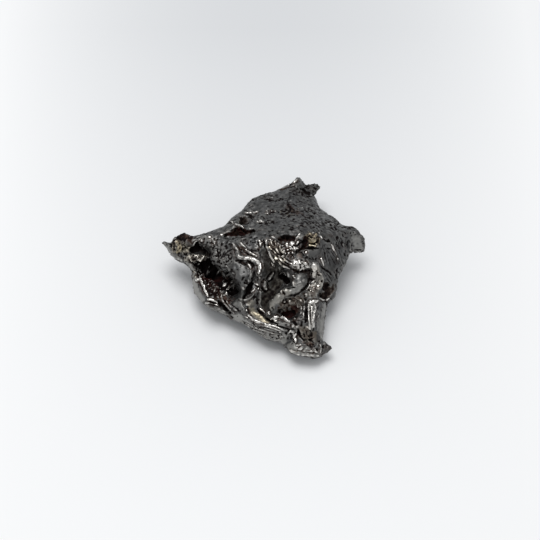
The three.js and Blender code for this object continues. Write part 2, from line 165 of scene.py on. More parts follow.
LEFT_ARM = [
    stain(1.5, (-19.2, 4.8), (-17.8, 4.4), (-16.8, 4.2), pale=0.5, gold=0.35),
    stain(0.8, (-20.6, 4.3), (-19.5, 3.0), (-18.0, 2.1), (-16.5, 1.3), (-15.6, 0.3), pale=1.2, calm=1.0),
    stain(1.1, (-18.6, 6.3), (-17.2, 6.6), (-16.0, 6.4), rust=0.8, dark=0.6),
    stain(0.7, (-17.9, 6.2), (-16.4, 6.3), dark=1.2),
    ridge(0.6, 0.1, (-21.2, 5.3), (-20.8, 5.2), (-20.4, 5.0), pale=0.8, calm=0.6),
    groove(0.4, 0.35, (-20.1, 5.4), (-19.9, 4.7), dark=0.8),
    knob(0.9, 0.35, (-18.9, 6.3), rust=0.5, dark=0.6),
    knob(1.1, 0.35, (-17.5, 6.8), rust=0.5, dark=0.8),
    groove(0.4, 0.4, (-18.4, 6.6), (-18.0, 6.0), dark=0.9),
    groove(0.45, 0.4, (-16.9, 6.2), (-16.4, 6.7), dark=0.9, rust=0.5),
    knob(0.8, 0.35, (-18.6, 5.6), gold=0.7),
    knob(0.7, 0.35, (-18.1, 5.0), gold=0.8),
    knob(0.9, 0.4, (-18.2, 3.9), gold=1.0, shine=0.2),
    knob(0.5, 0.3, (-17.2, 4.2), gold=0.7),
    groove(0.3, 0.3, (-19.5, 5.8), (-19.2, 4.9), (-19.2, 4.0), dark=0.7, rust=0.4),
    groove(0.25, 0.3, (-17.6, 5.6), (-17.5, 4.7), dark=0.6, rust=0.3),
    groove(0.3, 0.4, (-17.3, 3.6), (-16.9, 2.8), (-17.0, 2.2), dark=0.8),
    groove(0.3, 0.35, (-18.7, 2.2), (-17.7, 1.8), (-16.9, 1.4), dark=1.1),
    groove(0.25, 0.3, (-18.5, 3.0), (-17.7, 2.3), (-17.1, 1.7), dark=0.9),
    ridge(0.4, 0.25, (-19.9, 3.2), (-18.8, 2.5), (-17.6, 2.0), pale=1.0, shine=0.5),
    *spots(pit, 24, 1.0, (-19.4, 4.6), (-17.6, 3.4), (-16.4, 4.6), half=(0.15, 0.3), dark=0.9),
    *spots(knob, 12, 1.0, (-19.4, 4.6), (-16.6, 3.6), shine=0.35),
]
UPPER_POCKET = [
    stain(1.3, (-15.2, 6.0), (-12.8, 6.4), (-11.4, 6.2), pale=0.85, calm=0.4),
    groove(0.8, 0.7, (-14.7, 5.1), (-14.5, 4.3), (-15.4, 3.9), dark=1.3),
    groove(0.6, 0.5, (-14.2, 4.2), (-13.1, 3.7), (-12.3, 2.9), dark=0.8, gold=0.2),
    ridge(0.3, 0.35, (-15.4, 4.9), (-14.7, 5.7), shine=0.9),
    knob(0.4, 0.35, (-13.65, 5.8), shine=1.0),
    knob(0.3, 0.25, (-12.1, 6.6), shine=0.9),
    ridge(0.35, 0.3, (-11.5, 6.2), (-11.2, 5.6), (-11.0, 5.0), shine=0.8, pale=0.8),
    ridge(0.25, 0.2, (-9.8, 7.0), (-9.2, 7.15), shine=0.9),
]
BRIDGE = [
    stain(1.4, (-16.4, 2.3), (-15.0, 2.0), (-13.8, 2.3), pale=1.2, gold=0.25, shine=0.3),
    # Partly grey metal and partly painted light on a wall that the softbox leaves in shade
    stain(0.9, (-15.9, 1.0), (-15.4, 0.2), (-15.2, -0.6), pale=1.0, shine=0.35),
    knob(0.7, 0.45, (-16.1, 2.7), gold=0.45, shine=0.6),
    knob(0.65, 0.4, (-15.6, 1.9), gold=0.3, shine=0.6),
    knob(0.55, 0.4, (-14.9, 1.5), shine=0.9),
    ridge(0.5, 0.45, (-15.4, 2.9), (-14.6, 2.6), (-14.0, 2.9), gold=0.25, shine=0.7),
    ridge(0.45, 0.45, (-14.2, 1.6), (-13.6, 2.2), (-13.1, 2.7), shine=1.0),
    knob(0.45, 0.35, (-14.5, 2.0), shine=0.7, rust=0.3),
    knob(0.4, 0.3, (-15.2, 0.6), gold=0.4, shine=0.4),
    *spots(pit, 26, 1.0, (-16.6, 2.2), (-14.2, 1.8), half=(0.14, 0.28), dark=1.0),
]
GREAT_HOLLOW = [
    # The black upper end of the hollow is painted shadow under the bridge, over a real groove
    groove(1.5, 1.0, (-14.2, 0.7), (-13.4, 0.9), (-12.4, 1.2), dark=1.5),
    groove(1.6, 1.2, (-13.2, 0.4), (-12.1, 0.6), (-11.2, 0.2), dark=1.5),
    groove(2.2, 1.2, (-12.4, -1.0), (-10.8, -1.6), (-9.6, -2.8), dark=0.55, rust=1.6),
    stain(1.1, (-9.6, -2.6), (-8.6, -3.8), (-8.2, -5.0), dark=0.8, rust=0.4),
    stain(1.0, (-12.4, -3.2), (-11.8, -4.4), dark=0.7, rust=0.8),
    groove(1.5, 1.0, (-8.6, -1.2), (-7.9, -2.4), (-7.4, -4.4), dark=1.1),
    groove(1.8, 0.9, (-12.0, -3.0), (-11.4, -4.2), (-10.8, -4.6), dark=0.6, rust=0.9),
    knob(0.2, 0.2, (-12.4, 0.5), shine=0.6),
    knob(0.35, 0.35, (-8.7, -4.7), shine=0.9),
    *spots(
        knob, 70, 1.3, (-13.0, -1.2), (-12.2, -2.4), (-11.2, -4.0), half=(0.1, 0.22), pale=0.9, shine=0.85,
    ),
    *spots(knob, 14, 1.3, (-11.0, -2.0), (-10.0, -4.0), half=(0.1, 0.2), pale=0.8, shine=0.7),
    *spots(knob, 46, 1.0, (-9.0, -1.7), (-8.0, -4.2), half=(0.12, 0.24), pale=1.0, shine=0.8),
]
RIM_OF_THE_HOLLOW = [
    stain(1.5, (-15.3, -2.4), (-14.8, -4.1), (-13.7, -5.6), pale=1.3, calm=1.2),
    ridge(0.4, 0.45, (-14.1, -0.9), (-13.8, -1.9), (-13.4, -2.9), (-12.9, -3.9), (-12.4, -5.3), shine=1.0),
    ridge(0.4, 0.3, (-14.8, -2.1), (-14.0, -1.9), shine=0.8),
    knob(0.5, 0.3, (-14.9, -1.2), gold=0.5, rust=0.4, shine=0.3),
    knob(0.4, 0.3, (-15.2, -0.4), gold=0.4, rust=0.4),
    groove(0.3, 0.3, (-14.5, -0.3), (-14.7, -1.6), dark=0.8, rust=0.6),
    groove(0.25, 0.25, (-14.2, -2.4), (-13.7, -3.3), dark=0.6, rust=0.7),
]
PITTED_FACE = [
    stain(2.2, (-12.6, 5.2), (-10.4, 3.6), (-8.8, 2.0), pale=0.75, calm=0.45),
    ridge(0.25, 0.25, (-9.2, 1.4), (-8.6, 0.6), (-7.9, -0.2), (-7.0, -0.8), shine=0.5),
    groove(0.3, 0.35, (-6.2, 1.5), (-5.8, 1.9), (-5.2, 1.9), dark=0.9),
    *spots(pit, 130, 1.6, (-13.0, 5.0), (-11.4, 3.8), (-9.8, 2.4), (-8.6, 1.0), half=(0.18, 0.34), dark=1.2),
    *spots(pit, 40, 1.0, (-11.0, 6.0), (-8.2, 5.0), (-7.8, 3.2), half=(0.18, 0.34), dark=1.1),
    *spots(knob, 26, 1.6, (-12.4, 5.4), (-10.4, 3.4), (-8.4, 1.6), half=(0.16, 0.32), pale=0.9, shine=0.35),
]
BELLY = [
    stain(1.0, (-12.6, -7.2), (-10.6, -7.9), (-9.0, -8.4), pale=0.9, calm=0.7),
    ridge(0.4, 0.4, (-12.3, -5.9), (-11.5, -6.1), (-10.5, -6.6), shine=1.1),
    ridge(0.3, 0.3, (-12.8, -6.5), (-11.6, -6.7), (-10.4, -7.0), shine=0.6),
    groove(0.25, 0.3, (-12.0, -6.35), (-10.9, -6.75), dark=0.8),
    ridge(0.3, 0.25, (-12.6, -7.1), (-11.0, -7.5), (-9.6, -7.8), shine=0.45),
    groove(0.25, 0.25, (-12.4, -6.85), (-10.6, -7.25), dark=0.6),
    groove(0.7, 0.9, (-10.2, -6.2), (-9.5, -7.2), (-8.2, -8.6), dark=1.2),
    ridge(0.22, 0.3, (-10.0, -5.2), (-9.2, -6.5), (-8.0, -7.8), (-7.0, -8.7), shine=0.6),
    groove(0.25, 0.35, (-9.4, -5.7), (-8.3, -7.1), (-6.9, -8.3), dark=0.9, rust=0.3),
    ridge(0.2, 0.25, (-8.9, -6.0), (-7.6, -7.4), (-6.4, -8.2), shine=0.5),
    groove(0.2, 0.25, (-8.4, -6.2), (-7.2, -7.4), (-6.2, -8.0), dark=0.8),
    stain(1.2, (-9.8, -5.3), (-8.4, -6.2), rust=0.65, dark=0.2),
    stain(0.6, (-7.2, -5.8), rust=0.7, dark=0.5),
    stain(0.8, (-6.9, -6.7), (-5.6, -7.0), pale=0.8, calm=0.8),
    ridge(0.3, 0.25, (-9.9, -4.5), (-9.2, -4.3), shine=0.5),
    *spots(pit, 16, 0.9, (-9.6, -4.9), (-7.4, -5.6), dark=0.8, rust=0.4),
    *spots(knob, 12, 0.9, (-10.4, -4.9), (-7.4, -5.4), half=(0.18, 0.34), shine=0.6),
]
TONGUE = [
    stain(1.7, (-5.6, 0.4), (-5.3, -1.6), (-5.8, -4.2), pale=0.15, calm=1.2),
    ridge(0.35, 0.3, (-4.5, 1.3), (-4.1, 0.9), (-3.9, 0.3), shine=0.9),
    ridge(0.4, 0.2, (-3.9, 0.0), (-3.8, -1.2), (-4.1, -2.2), (-4.8, -3.2), pale=0.7, calm=1.0),
    ridge(0.3, 0.2, (-5.7, -3.2), (-5.1, -4.0), shine=0.6),
    groove(
        0.45, 0.5, (-5.2, 1.7), (-4.3, 1.75), (-3.5, 1.2), (-3.2, 0.2), (-3.2, -1.2), (-3.5, -2.2), dark=0.35,
    ),
    groove(0.7, 1.0, (-3.6, -2.7), (-4.2, -3.7), (-4.9, -4.9), (-5.2, -5.5), dark=1.3),
    pit(0.35, 0.3, (-5.1, -2.6), dark=1.0),
    *spots(pit, 24, 1.3, (-5.6, 0.6), (-5.2, -1.4), (-5.6, -3.0), half=(0.18, 0.3), dark=0.8),
]
WINDING_RIDGE = [
    ridge(
        0.65, 0.5, (-7.3, 5.0), (-6.7, 4.2), (-6.4, 3.2), (-6.1, 2.6), (-5.0, 2.3), (-4.2, 2.4), (-3.2, 2.1),
        (-2.4, 1.5), (-2.1, 0.6), (-2.2, -0.5), pale=1.2, calm=0.9, shine=0.52,
    ),
    ridge(0.3, 0.25, (-7.1, 4.9), (-6.7, 4.3), (-6.4, 3.7), shine=0.9),
    ridge(0.3, 0.25, (-5.0, 2.3), (-4.2, 2.35), (-3.6, 2.1), shine=1.1),
    ridge(0.35, 0.25, (-2.5, 1.5), (-2.2, 0.9), (-2.15, 0.2), shine=1.2),
    ridge(0.25, 0.2, (-2.2, -0.2), (-2.3, -0.9), shine=0.9),
    ridge(0.25, 0.3, (-6.2, 5.7), (-5.6, 5.1), (-4.9, 4.4), pale=0.8, shine=0.5),
    ridge(0.3, 0.3, (-5.0, 4.1), (-4.0, 3.4), (-3.0, 2.95), (-2.6, 2.9), shine=0.9),
    groove(0.25, 0.35, (-6.6, 4.7), (-6.0, 4.2), (-5.5, 3.7), dark=0.55, rust=0.9),
    groove(0.3, 0.35, (-5.8, 4.6), (-5.0, 3.8), (-4.2, 3.2), (-3.2, 2.6), dark=0.5, rust=0.9),
    knob(0.3, 0.25, (-2.0, -1.6), shine=0.7),
    groove(0.3, 0.35, (-2.6, -1.4), (-2.5, -2.2), dark=1.0),
    ridge(0.3, 0.3, (-3.1, -2.7), (-2.4, -3.0), shine=1.1),
    knob(0.3, 0.25, (-2.3, -3.8), shine=0.9),
    ridge(0.3, 0.3, (-3.0, -3.8), (-3.7, -4.4), shine=1.1),
    ridge(0.35, 0.35, (-3.3, -4.9), (-4.0, -5.6), (-5.2, -6.1), (-6.2, -5.8), pale=0.9, shine=0.4),
    ridge(0.4, 0.4, (-2.0, -4.4), (-2.1, -5.6), (-2.0, -7.0), (-1.7, -7.6), pale=1.2, shine=0.4),
    groove(0.25, 0.3, (-2.4, -5.0), (-2.5, -6.2), (-2.5, -7.4), dark=1.0),
    ridge(0.35, 0.35, (-2.2, 5.9), (-1.9, 5.4), (-1.9, 4.7), shine=1.1),
    groove(0.4, 0.5, (-1.3, 6.0), (-1.2, 5.2), (-1.1, 4.5), dark=1.1),
    stain(0.6, (-2.4, 4.3), rust=0.4),
    *spots(pit, 20, 1.0, (-6.0, 6.2), (-3.4, 5.0), (-1.6, 3.2), dark=0.6),
]
LONG_FOLDS = [
    stain(1.1, (0.4, 5.0), (1.0, 3.4), (2.4, 1.6), gold=0.3, rust=0.3),
    ridge(0.35, 0.35, (-0.5, 6.2), (-0.7, 5.2), (-0.3, 4.0), (0.1, 3.0), (1.0, 1.6), shine=0.75, pale=0.8),
    ridge(0.25, 0.3, (0.3, 6.6), (1.1, 6.2), shine=0.9),
    ridge(0.25, 0.25, (-0.4, 6.2), (0.4, 5.9), shine=0.9),
    *row(ridge, 4, (0.55, 0.12), 0.22, 0.35, (0.1, 4.6), (0.5, 3.4), (1.2, 2.2), shine=0.7, gold=0.4),
    *row(groove, 4, (0.55, 0.12), 0.2, 0.35, (0.28, 4.4), (0.8, 3.4), (1.5, 2.2), dark=0.8, rust=0.7),
    *row(ridge, 3, (0.62, -0.05), 0.22, 0.35, (0.3, 5.8), (0.5, 5.2), (0.9, 4.6), shine=0.7, gold=0.3),
    *row(groove, 3, (0.62, -0.05), 0.2, 0.35, (0.6, 5.8), (0.8, 5.2), (1.2, 4.6), dark=0.8, rust=0.7),
    *row(ridge, 3, (0.3, 0.42), 0.22, 0.3, (1.8, 1.9), (2.7, 1.0), (3.9, 0.3), shine=0.7),
    *row(groove, 3, (0.3, 0.42), 0.2, 0.35, (1.9, 2.1), (2.8, 1.2), (4.0, 0.5), dark=0.8, rust=0.8),
]
RUGGED_BAND = [
    groove(0.8, 0.7, (2.3, 6.1), (3.4, 6.2), (4.6, 6.4), rust=0.9, dark=0.5),
    groove(0.35, 0.4, (2.2, 6.75), (3.4, 6.85), (4.6, 6.7), dark=1.2),
    knob(0.8, 0.5, (4.5, 5.4), shine=1.0, pale=1.0),
    knob(0.5, 0.35, (3.4, 5.1), shine=0.6, pale=0.6),
    ridge(0.8, 0.4, (5.5, 6.0), (5.8, 6.4), (6.2, 6.8), pale=1.2, calm=0.6),
    ridge(0.3, 0.2, (5.2, 6.0), (5.6, 6.6), (6.1, 7.0), shine=0.8),
    knob(0.6, 0.4, (5.5, 4.3), shine=0.9),
    knob(0.45, 0.3, (4.6, 4.2), shine=0.6),
    knob(0.4, 0.35, (2.6, 2.8), shine=0.8),
    knob(0.35, 0.3, (4.3, 2.5), shine=0.7),
    groove(0.6, 0.8, (7.0, 6.7), (7.0, 5.6), (6.7, 4.4), rust=1.2, dark=0.6),
    groove(0.35, 0.5, (6.8, 6.0), (5.9, 5.3), (5.2, 4.9), dark=1.0),
    groove(0.3, 0.4, (6.6, 4.4), (5.8, 3.9), (5.0, 3.5), dark=0.9),
    stain(0.8, (3.9, 4.2), (2.8, 3.8), rust=0.8, dark=0.5),
    *spots(pit, 36, 1.1, (1.6, 5.2), (3.6, 4.0), (5.6, 5.2), (3.2, 2.6), dark=0.7, rust=0.7),
    *spots(knob, 30, 1.1, (1.6, 5.2), (3.6, 4.0), (5.6, 5.2), (3.2, 2.6), shine=0.95),
]
GOLD_KNOB = [
    stain(1.4, (7.9, 6.6), (8.6, 6.1), (9.3, 6.3), gold=0.9, rust=0.15),
    ridge(0.75, 0.45, (7.8, 6.8), (8.4, 6.4), (8.9, 6.6), gold=1.0, shine=0.3),
    knob(0.7, 0.4, (8.8, 5.9), gold=1.0, shine=0.5),
    knob(0.5, 0.35, (7.9, 5.8), gold=0.9, shine=0.35),
    ridge(0.25, 0.25, (8.0, 7.3), (8.9, 7.4), shine=0.6),
    groove(0.25, 0.35, (9.3, 7.4), (9.7, 6.4), (9.7, 5.7), (8.9, 5.25), (8.0, 5.3), dark=0.8, rust=0.7),
    ridge(0.25, 0.3, (9.7, 7.5), (10.0, 6.8), (10.4, 6.2), shine=0.7),
    ridge(0.35, 0.35, (7.7, 4.9), (8.4, 4.8), (9.1, 4.8), shine=0.8, gold=1.0),
    groove(0.25, 0.4, (7.0, 4.3), (8.6, 4.4), (9.8, 4.3), dark=0.9),
    stain(0.9, (8.0, 3.7), (9.6, 3.7), calm=1.3, pale=0.2),
    *spots(knob, 14, 1.1, (8.0, 6.6), (9.3, 6.1), half=(0.18, 0.36), gold=1.0, shine=0.5),
    *spots(pit, 18, 1.1, (8.0, 6.6), (9.3, 6.1), half=(0.16, 0.3), dark=0.9, rust=0.6),
]
SHINING_KNOB = [
    knob(1.0, 0.35, (5.9, 2.9), pale=0.6, rust=0.35, dark=0.3, calm=0.8),
    groove(0.25, 0.3, (5.0, 3.0), (5.5, 3.6), (6.4, 3.6), (6.8, 3.0), dark=0.9),
    knob(0.3, 0.25, (7.2, 3.6), shine=0.8),
    pit(0.35, 0.4, (8.6, 2.4), dark=1.1),
    pit(0.3, 0.3, (7.5, 2.7), dark=0.8),
    stain(1.4, (5.0, 1.2), (6.2, 0.9), (7.4, 1.0), pale=1.3, calm=0.6),
    stain(1.2, (4.9, 1.0), (5.9, 0.6), (7.0, 0.8), shine=0.8),
    knob(0.8, 0.35, (5.0, 1.0), shine=1.3),
    knob(0.65, 0.3, (5.8, 0.3), shine=1.3),
    knob(0.55, 0.25, (7.1, 1.3), shine=0.9),
    groove(0.3, 0.45, (6.3, 1.1), (6.7, 1.6), dark=1.2, rust=0.5),
    *spots(knob, 22, 1.0, (5.0, 1.3), (6.6, 0.7), half=(0.2, 0.38), shine=1.6),
    *spots(pit, 21, 1.1, (5.2, 1.2), (7.4, 1.1), half=(0.13, 0.26), dark=1.4, rust=0.3),
    groove(0.3, 0.5, (4.0, 0.5), (4.8, -0.1), (5.8, -0.35), (7.0, -0.3), (8.2, -0.15), rust=1.0, dark=0.9),
    groove(
        0.35, 0.5, (8.2, -0.3), (8.0, -1.2), (7.6, -2.2), (7.4, -3.1), (6.6, -4.0), (5.6, -4.8),
        dark=0.9, rust=0.6,
    ),
]
BASIN = [
    stain(
        2.0, (-0.6, 2.6), (0.2, 0.6), (1.4, -2.4), (-0.4, -5.4), (-1.0, -6.6), dark=0.55, gold=0.12, calm=2.2,
    ),
    stain(1.6, (1.6, -3.0), (0.6, -4.6), (-0.6, -6.0), dark=0.7, gold=0.25, calm=2.2),
    groove(0.8, 1.0, (2.6, -1.2), (3.2, -1.9), (3.6, -2.3), dark=1.3),
    knob(0.32, 0.3, (2.3, -0.8), shine=1.5),
    ridge(0.28, 0.3, (2.9, -0.5), (3.2, -1.0), shine=1.5),
    ridge(0.35, 0.35, (3.5, -0.5), (3.9, -1.4), pale=1.2, shine=0.4),
    ridge(0.45, 0.45, (-1.2, -2.4), (-1.1, -3.1), (-0.85, -3.9), shine=0.5, pale=1.2),
    groove(
        0.3, 0.45, (-1.0, -1.9), (-1.7, -2.5), (-1.6, -3.5), (-1.0, -4.4), (-0.3, -3.8), (-0.5, -2.6),
        dark=1.0, rust=0.8,
    ),
    ridge(0.35, 0.4, (0.65, -0.6), (0.3, -1.1), (-0.4, -1.9), shine=0.35, pale=1.0),
    groove(0.25, 0.35, (1.0, -0.4), (0.9, -1.0), (0.3, -1.9), (-0.3, -2.4), dark=1.1),
    groove(0.25, 0.35, (-0.7, -2.0), (-0.3, -1.2), (0.4, -0.4), dark=1.1),
    ridge(0.25, 0.3, (0.4, 1.4), (0.6, 0.7), shine=0.7),
    ridge(0.25, 0.25, (0.8, 1.2), (0.9, 0.7), shine=0.5),
    groove(0.3, 0.3, (1.4, 1.4), (2.0, 1.3), dark=0.9),
    ridge(0.25, 0.3, (1.9, 0.6), (2.2, -0.2), shine=0.6),
]
FINGER = [
    ridge(1.1, 0.45, (0.3, -7.0), (1.2, -6.0), (2.2, -5.2), (3.4, -4.6), pale=1.5, gold=0.15, calm=1.6),
    ridge(1.2, 0.2, (3.2, -4.4), (4.4, -4.2), (5.6, -4.0), pale=1.1, calm=1.4),
    stain(1.4, (5.4, -1.5), (6.2, -1.8), (6.0, -2.8), pale=0.4, calm=1.6),
    # The darkening on the pad's right side is painted shade from the knob beside it
    ridge(0.9, 0.5, (6.0, -1.0), (7.0, -1.2), (6.9, -2.2), (6.4, -3.2), dark=0.25, calm=1.6),
    stain(0.7, (4.8, -2.2), (4.9, -3.1), pale=1.2, shine=0.5),
    ridge(0.3, 0.2, (4.5, -2.2), (4.7, -3.0), shine=0.75),
    ridge(0.3, 0.25, (4.4, -1.0), (5.0, -1.6), shine=0.6),
    knob(0.3, 0.25, (2.5, -4.6), shine=0.9),
    pit(0.4, 0.4, (2.95, -4.75), dark=0.8, rust=0.7),
    groove(
        0.25, 0.45, (-0.1, -6.6), (0.4, -5.5), (1.2, -4.9), (2.0, -4.3), (3.4, -3.65), (5.0, -3.5), dark=1.2,
    ),
    # A thin black line along the lobe's top edge: painted shade along the crevice, with no relief of its own
    stain(0.2, (0.1, -6.3), (0.7, -5.4), (1.5, -4.8), (2.3, -4.3), (3.4, -3.8), dark=1.5),
    groove(0.25, 0.35, (3.2, -5.2), (4.6, -5.1), (5.8, -4.8), dark=0.9, rust=0.6),
]
FINGER_UNDERSIDE = [
    stain(1.4, (2.8, -7.3), (3.8, -6.7), (5.8, -6.1), pale=0.7, rust=0.3, gold=0.2),
    knob(0.4, 0.35, (3.0, -6.3), shine=0.9),
    ridge(0.35, 0.35, (5.2, -5.6), (6.4, -6.4), pale=0.9, shine=0.4),
    ridge(0.3, 0.3, (2.2, -7.4), (2.8, -6.8), pale=0.9),
    *spots(pit, 44, 1.0, (2.4, -7.7), (3.8, -6.6), (5.8, -6.2), (6.2, -8.0), dark=0.5, rust=0.45),
    *spots(
        knob, 32, 1.0, (2.4, -7.7), (3.8, -6.6), (5.8, -6.2), (6.2, -8.0), half=(0.16, 0.36), shine=0.5,
        pale=0.8,
    ),
    groove(0.9, 0.45, (3.0, -8.9), (4.4, -8.7), dark=0.45, rust=1.4),
    stain(1.0, (4.9, -7.7), rust=1.0, dark=0.5),
    pit(0.4, 0.35, (0.5, -7.6), dark=1.0),
    pit(0.4, 0.35, (2.0, -8.3), dark=1.0),
]
LIP = [
    ridge(0.3, 0.35, (-4.8, -7.8), (-4.7, -8.4), shine=0.8),
    ridge(
        0.27, 0.4, (-4.6, -8.8), (-3.9, -9.5), (-2.6, -10.3), (-1.0, -10.8), (1.2, -11.3),
        shine=1.0, pale=1.2,
    ),
    ridge(0.24, 0.3, (1.3, -11.4), (2.4, -11.8), (3.5, -12.1), shine=0.5, pale=1.2),
    stain(0.8, (-3.6, -8.3), (-2.6, -9.1), (-1.5, -9.8), (-0.4, -10.3), gold=0.8, pale=1.2, shine=0.38),
    groove(
        0.3, 0.5, (-2.5, -7.9), (-1.8, -8.7), (-0.8, -9.6), (0.4, -10.4), (1.6, -10.8), dark=1.1, rust=0.5,
    ),
    groove(0.35, 0.5, (-4.4, -7.7), (-4.0, -8.6), (-3.4, -9.3), dark=0.8, rust=1.0),
    stain(0.8, (-4.2, -6.7), (-3.6, -6.6), dark=0.3, gold=0.2, calm=1.2),
    groove(0.3, 0.3, (-5.4, -6.0), (-5.2, -7.1), (-4.4, -7.5), dark=0.6),
    ridge(0.3, 0.4, (-2.0, -7.7), (-1.5, -8.1), (-1.0, -8.6), shine=1.0),
    ridge(0.3, 0.4, (-0.4, -8.2), (-0.1, -8.9), shine=1.1),
    stain(0.65, (0.6, -9.9), (1.4, -9.6), shine=1.0),
    ridge(0.45, 0.4, (0.3, -9.9), (1.0, -9.5), (1.7, -9.3), shine=1.2),
    ridge(0.3, 0.45, (2.1, -9.5), (3.0, -10.0), (4.0, -10.4), shine=1.2),
    ridge(0.6, 0.3, (0.6, -10.5), (2.0, -10.8), (3.8, -11.0), pale=1.4, calm=1.3),
    groove(0.25, 0.4, (1.4, -11.1), (2.6, -11.5), (3.8, -11.8), (5.0, -12.0), dark=1.0, rust=0.4),
    stain(0.8, (4.7, -11.1), (5.4, -11.5), pale=1.2, rust=0.15),
    groove(0.35, 0.5, (4.4, -10.2), (5.2, -10.6), dark=1.1),
    knob(0.35, 0.35, (5.0, -9.9), shine=1.0),
    knob(0.4, 0.35, (4.6, -11.2), shine=0.7),
    knob(0.4, 0.3, (5.5, -11.4), pale=1.0, shine=0.5),
]
BELT = [
    # Partly grey metal and partly a painted reflection of the bright floor in front of the belt
    stain(1.7, (-6.4, -9.8), (-4.4, -10.8), (-1.0, -12.5), (2.2, -13.4), pale=1.5, calm=1.5),
    *row(
        ridge, 5, (-0.14, -0.42), 0.17, 0.09, (-5.4, -9.2), (-3.0, -10.6), (0.4, -11.7), (2.6, -12.4),
        shine=0.62,
    ),
    *row(
        groove, 4, (-0.14, -0.42), 0.17, 0.1, (-5.2, -9.5), (-3.2, -10.8), (0.2, -11.9), (2.4, -12.6),
        dark=0.72,
    ),
    *spots(
        pit, 44, 0.9, (-6.4, -9.6), (-3.0, -11.7), (0.4, -12.9), (2.8, -12.8), half=(0.13, 0.25), dark=1.1,
    ),
]
RIGHT_FOLD = [
    stain(1.5, (9.2, 0.4), (9.7, -2.4), (8.6, -4.6), pale=1.0, gold=0.15, calm=0.5),
    ridge(0.8, 0.4, (8.7, 1.0), (8.9, -0.2), (8.7, -1.2), shine=0.85, pale=1.2),
    ridge(0.65, 0.35, (10.0, -0.8), (10.3, -1.8), (10.2, -3.0), (9.6, -3.9), pale=1.1, shine=0.4),
    pit(0.35, 0.45, (9.65, -1.0), dark=1.2),
    pit(0.35, 0.4, (8.3, -1.9), dark=1.1),
    groove(0.25, 0.3, (9.5, -0.5), (9.3, -1.6), (9.6, -2.6), dark=0.8),
    ridge(0.3, 0.25, (8.2, -2.7), (8.8, -2.2), shine=0.6),
    stain(1.0, (9.0, -3.6), (8.4, -4.8), pale=0.5, gold=0.15, rust=0.3, calm=1.0),
    ridge(0.25, 0.3, (7.9, -3.0), (7.3, -3.9), shine=0.8),
    knob(0.45, 0.3, (7.3, -4.9), pale=1.2, shine=0.5),
    *spots(pit, 16, 0.9, (8.8, 1.4), (9.4, -1.6), (9.4, -3.0), half=(0.16, 0.3), dark=0.9, rust=0.4),
    *spots(pit, 12, 0.9, (9.2, -3.4), (7.4, -5.2), half=(0.14, 0.26), dark=1.1, rust=0.4),
    *spots(knob, 8, 0.9, (9.2, -3.4), (7.4, -5.2), half=(0.14, 0.26), shine=0.8),
]
FLANK = [
    stain(2.6, (12.2, 4.6), (11.8, 1.4), (11.6, -1.4), calm=0.8),
    stain(1.8, (14.4, 5.0), (13.8, 2.0), calm=0.8),
    ridge(0.25, 0.15, (12.2, 5.3), (12.6, 4.4), (13.2, 3.4), (13.4, 2.8), shine=1.0),
    ridge(0.25, 0.25, (13.5, 2.3), (13.6, 1.4), shine=0.5),
    ridge(0.26, 0.15, (10.2, 2.4), (10.4, 1.7), (10.7, 0.9), shine=0.9),
    ridge(0.3, 0.15, (10.3, 6.6), (10.9, 6.0), shine=0.6),
    ridge(0.35, 0.12, (14.5, 5.4), (14.9, 4.3), pale=0.7, shine=0.3),
    groove(0.3, 0.3, (10.1, 1.2), (10.5, 0.4), (11.4, -0.1), (12.3, -0.9), dark=1.2),
    groove(0.25, 0.3, (13.1, -0.7), (13.5, -1.7), dark=1.0),
    groove(0.3, 0.35, (10.4, 6.5), (11.1, 5.9), (12.0, 5.7), dark=1.0),
    groove(0.25, 0.3, (11.0, 4.3), (12.1, 4.3), dark=1.0),
    *row(groove, 6, (0.65, 0.04), 0.15, 0.1, (10.4, 4.0), (11.0, 2.6), (11.6, 1.0), dark=0.8),
    *row(groove, 5, (0.55, 0.3), 0.15, 0.1, (10.8, -0.6), (11.4, -1.6), (11.9, -2.8), dark=0.7),
    *row(groove, 5, (0.6, -0.2), 0.15, 0.1, (12.4, 6.9), (13.0, 5.9), (13.4, 4.8), dark=0.8),
    *spots(pit, 22, 1.2, (11.0, 6.8), (14.0, 6.0), (15.0, 4.0), half=(0.18, 0.34), dark=0.8),
    groove(1.0, 0.5, (11.2, -3.2), (11.6, -4.3), (10.6, -5.3), rust=0.5, gold=0.3, dark=0.6),
    pit(0.35, 0.4, (11.7, -3.1), dark=1.1),
    groove(0.5, 0.4, (12.6, -3.0), (12.7, -4.2), rust=0.5, gold=0.3, dark=0.6),
    ridge(0.3, 0.35, (9.8, -5.6), (10.4, -6.0), (10.8, -6.1), shine=0.7),
    ridge(0.28, 0.3, (11.2, -6.0), (12.0, -5.4), shine=0.8),
    stain(1.1, (10.9, -7.4), (10.4, -10.5), (10.4, -13.6), pale=0.85, calm=1.1),
    stain(0.8, (9.8, -8.6), (9.6, -11.6), pale=0.6, calm=0.6),
]
FIN = [
    stain(1.5, (16.9, 6.6), (17.4, 5.4), (17.8, 4.4), pale=0.8, calm=0.9),
    ridge(0.3, 0.25, (16.0, 6.4), (16.1, 5.0), (15.9, 3.6), pale=0.8),
    groove(0.3, 0.25, (15.6, 6.0), (15.6, 4.6), dark=0.7),
    groove(0.25, 0.25, (17.0, 4.1), (18.3, 4.0), dark=0.8),
    *row(groove, 4, (0.5, 0.25), 0.16, 0.12, (16.2, 6.4), (16.9, 7.0), (17.4, 7.2), dark=0.5),
    *spots(pit, 14, 1.0, (15.4, 7.6), (17.4, 7.4), half=(0.18, 0.32), dark=0.7),
]
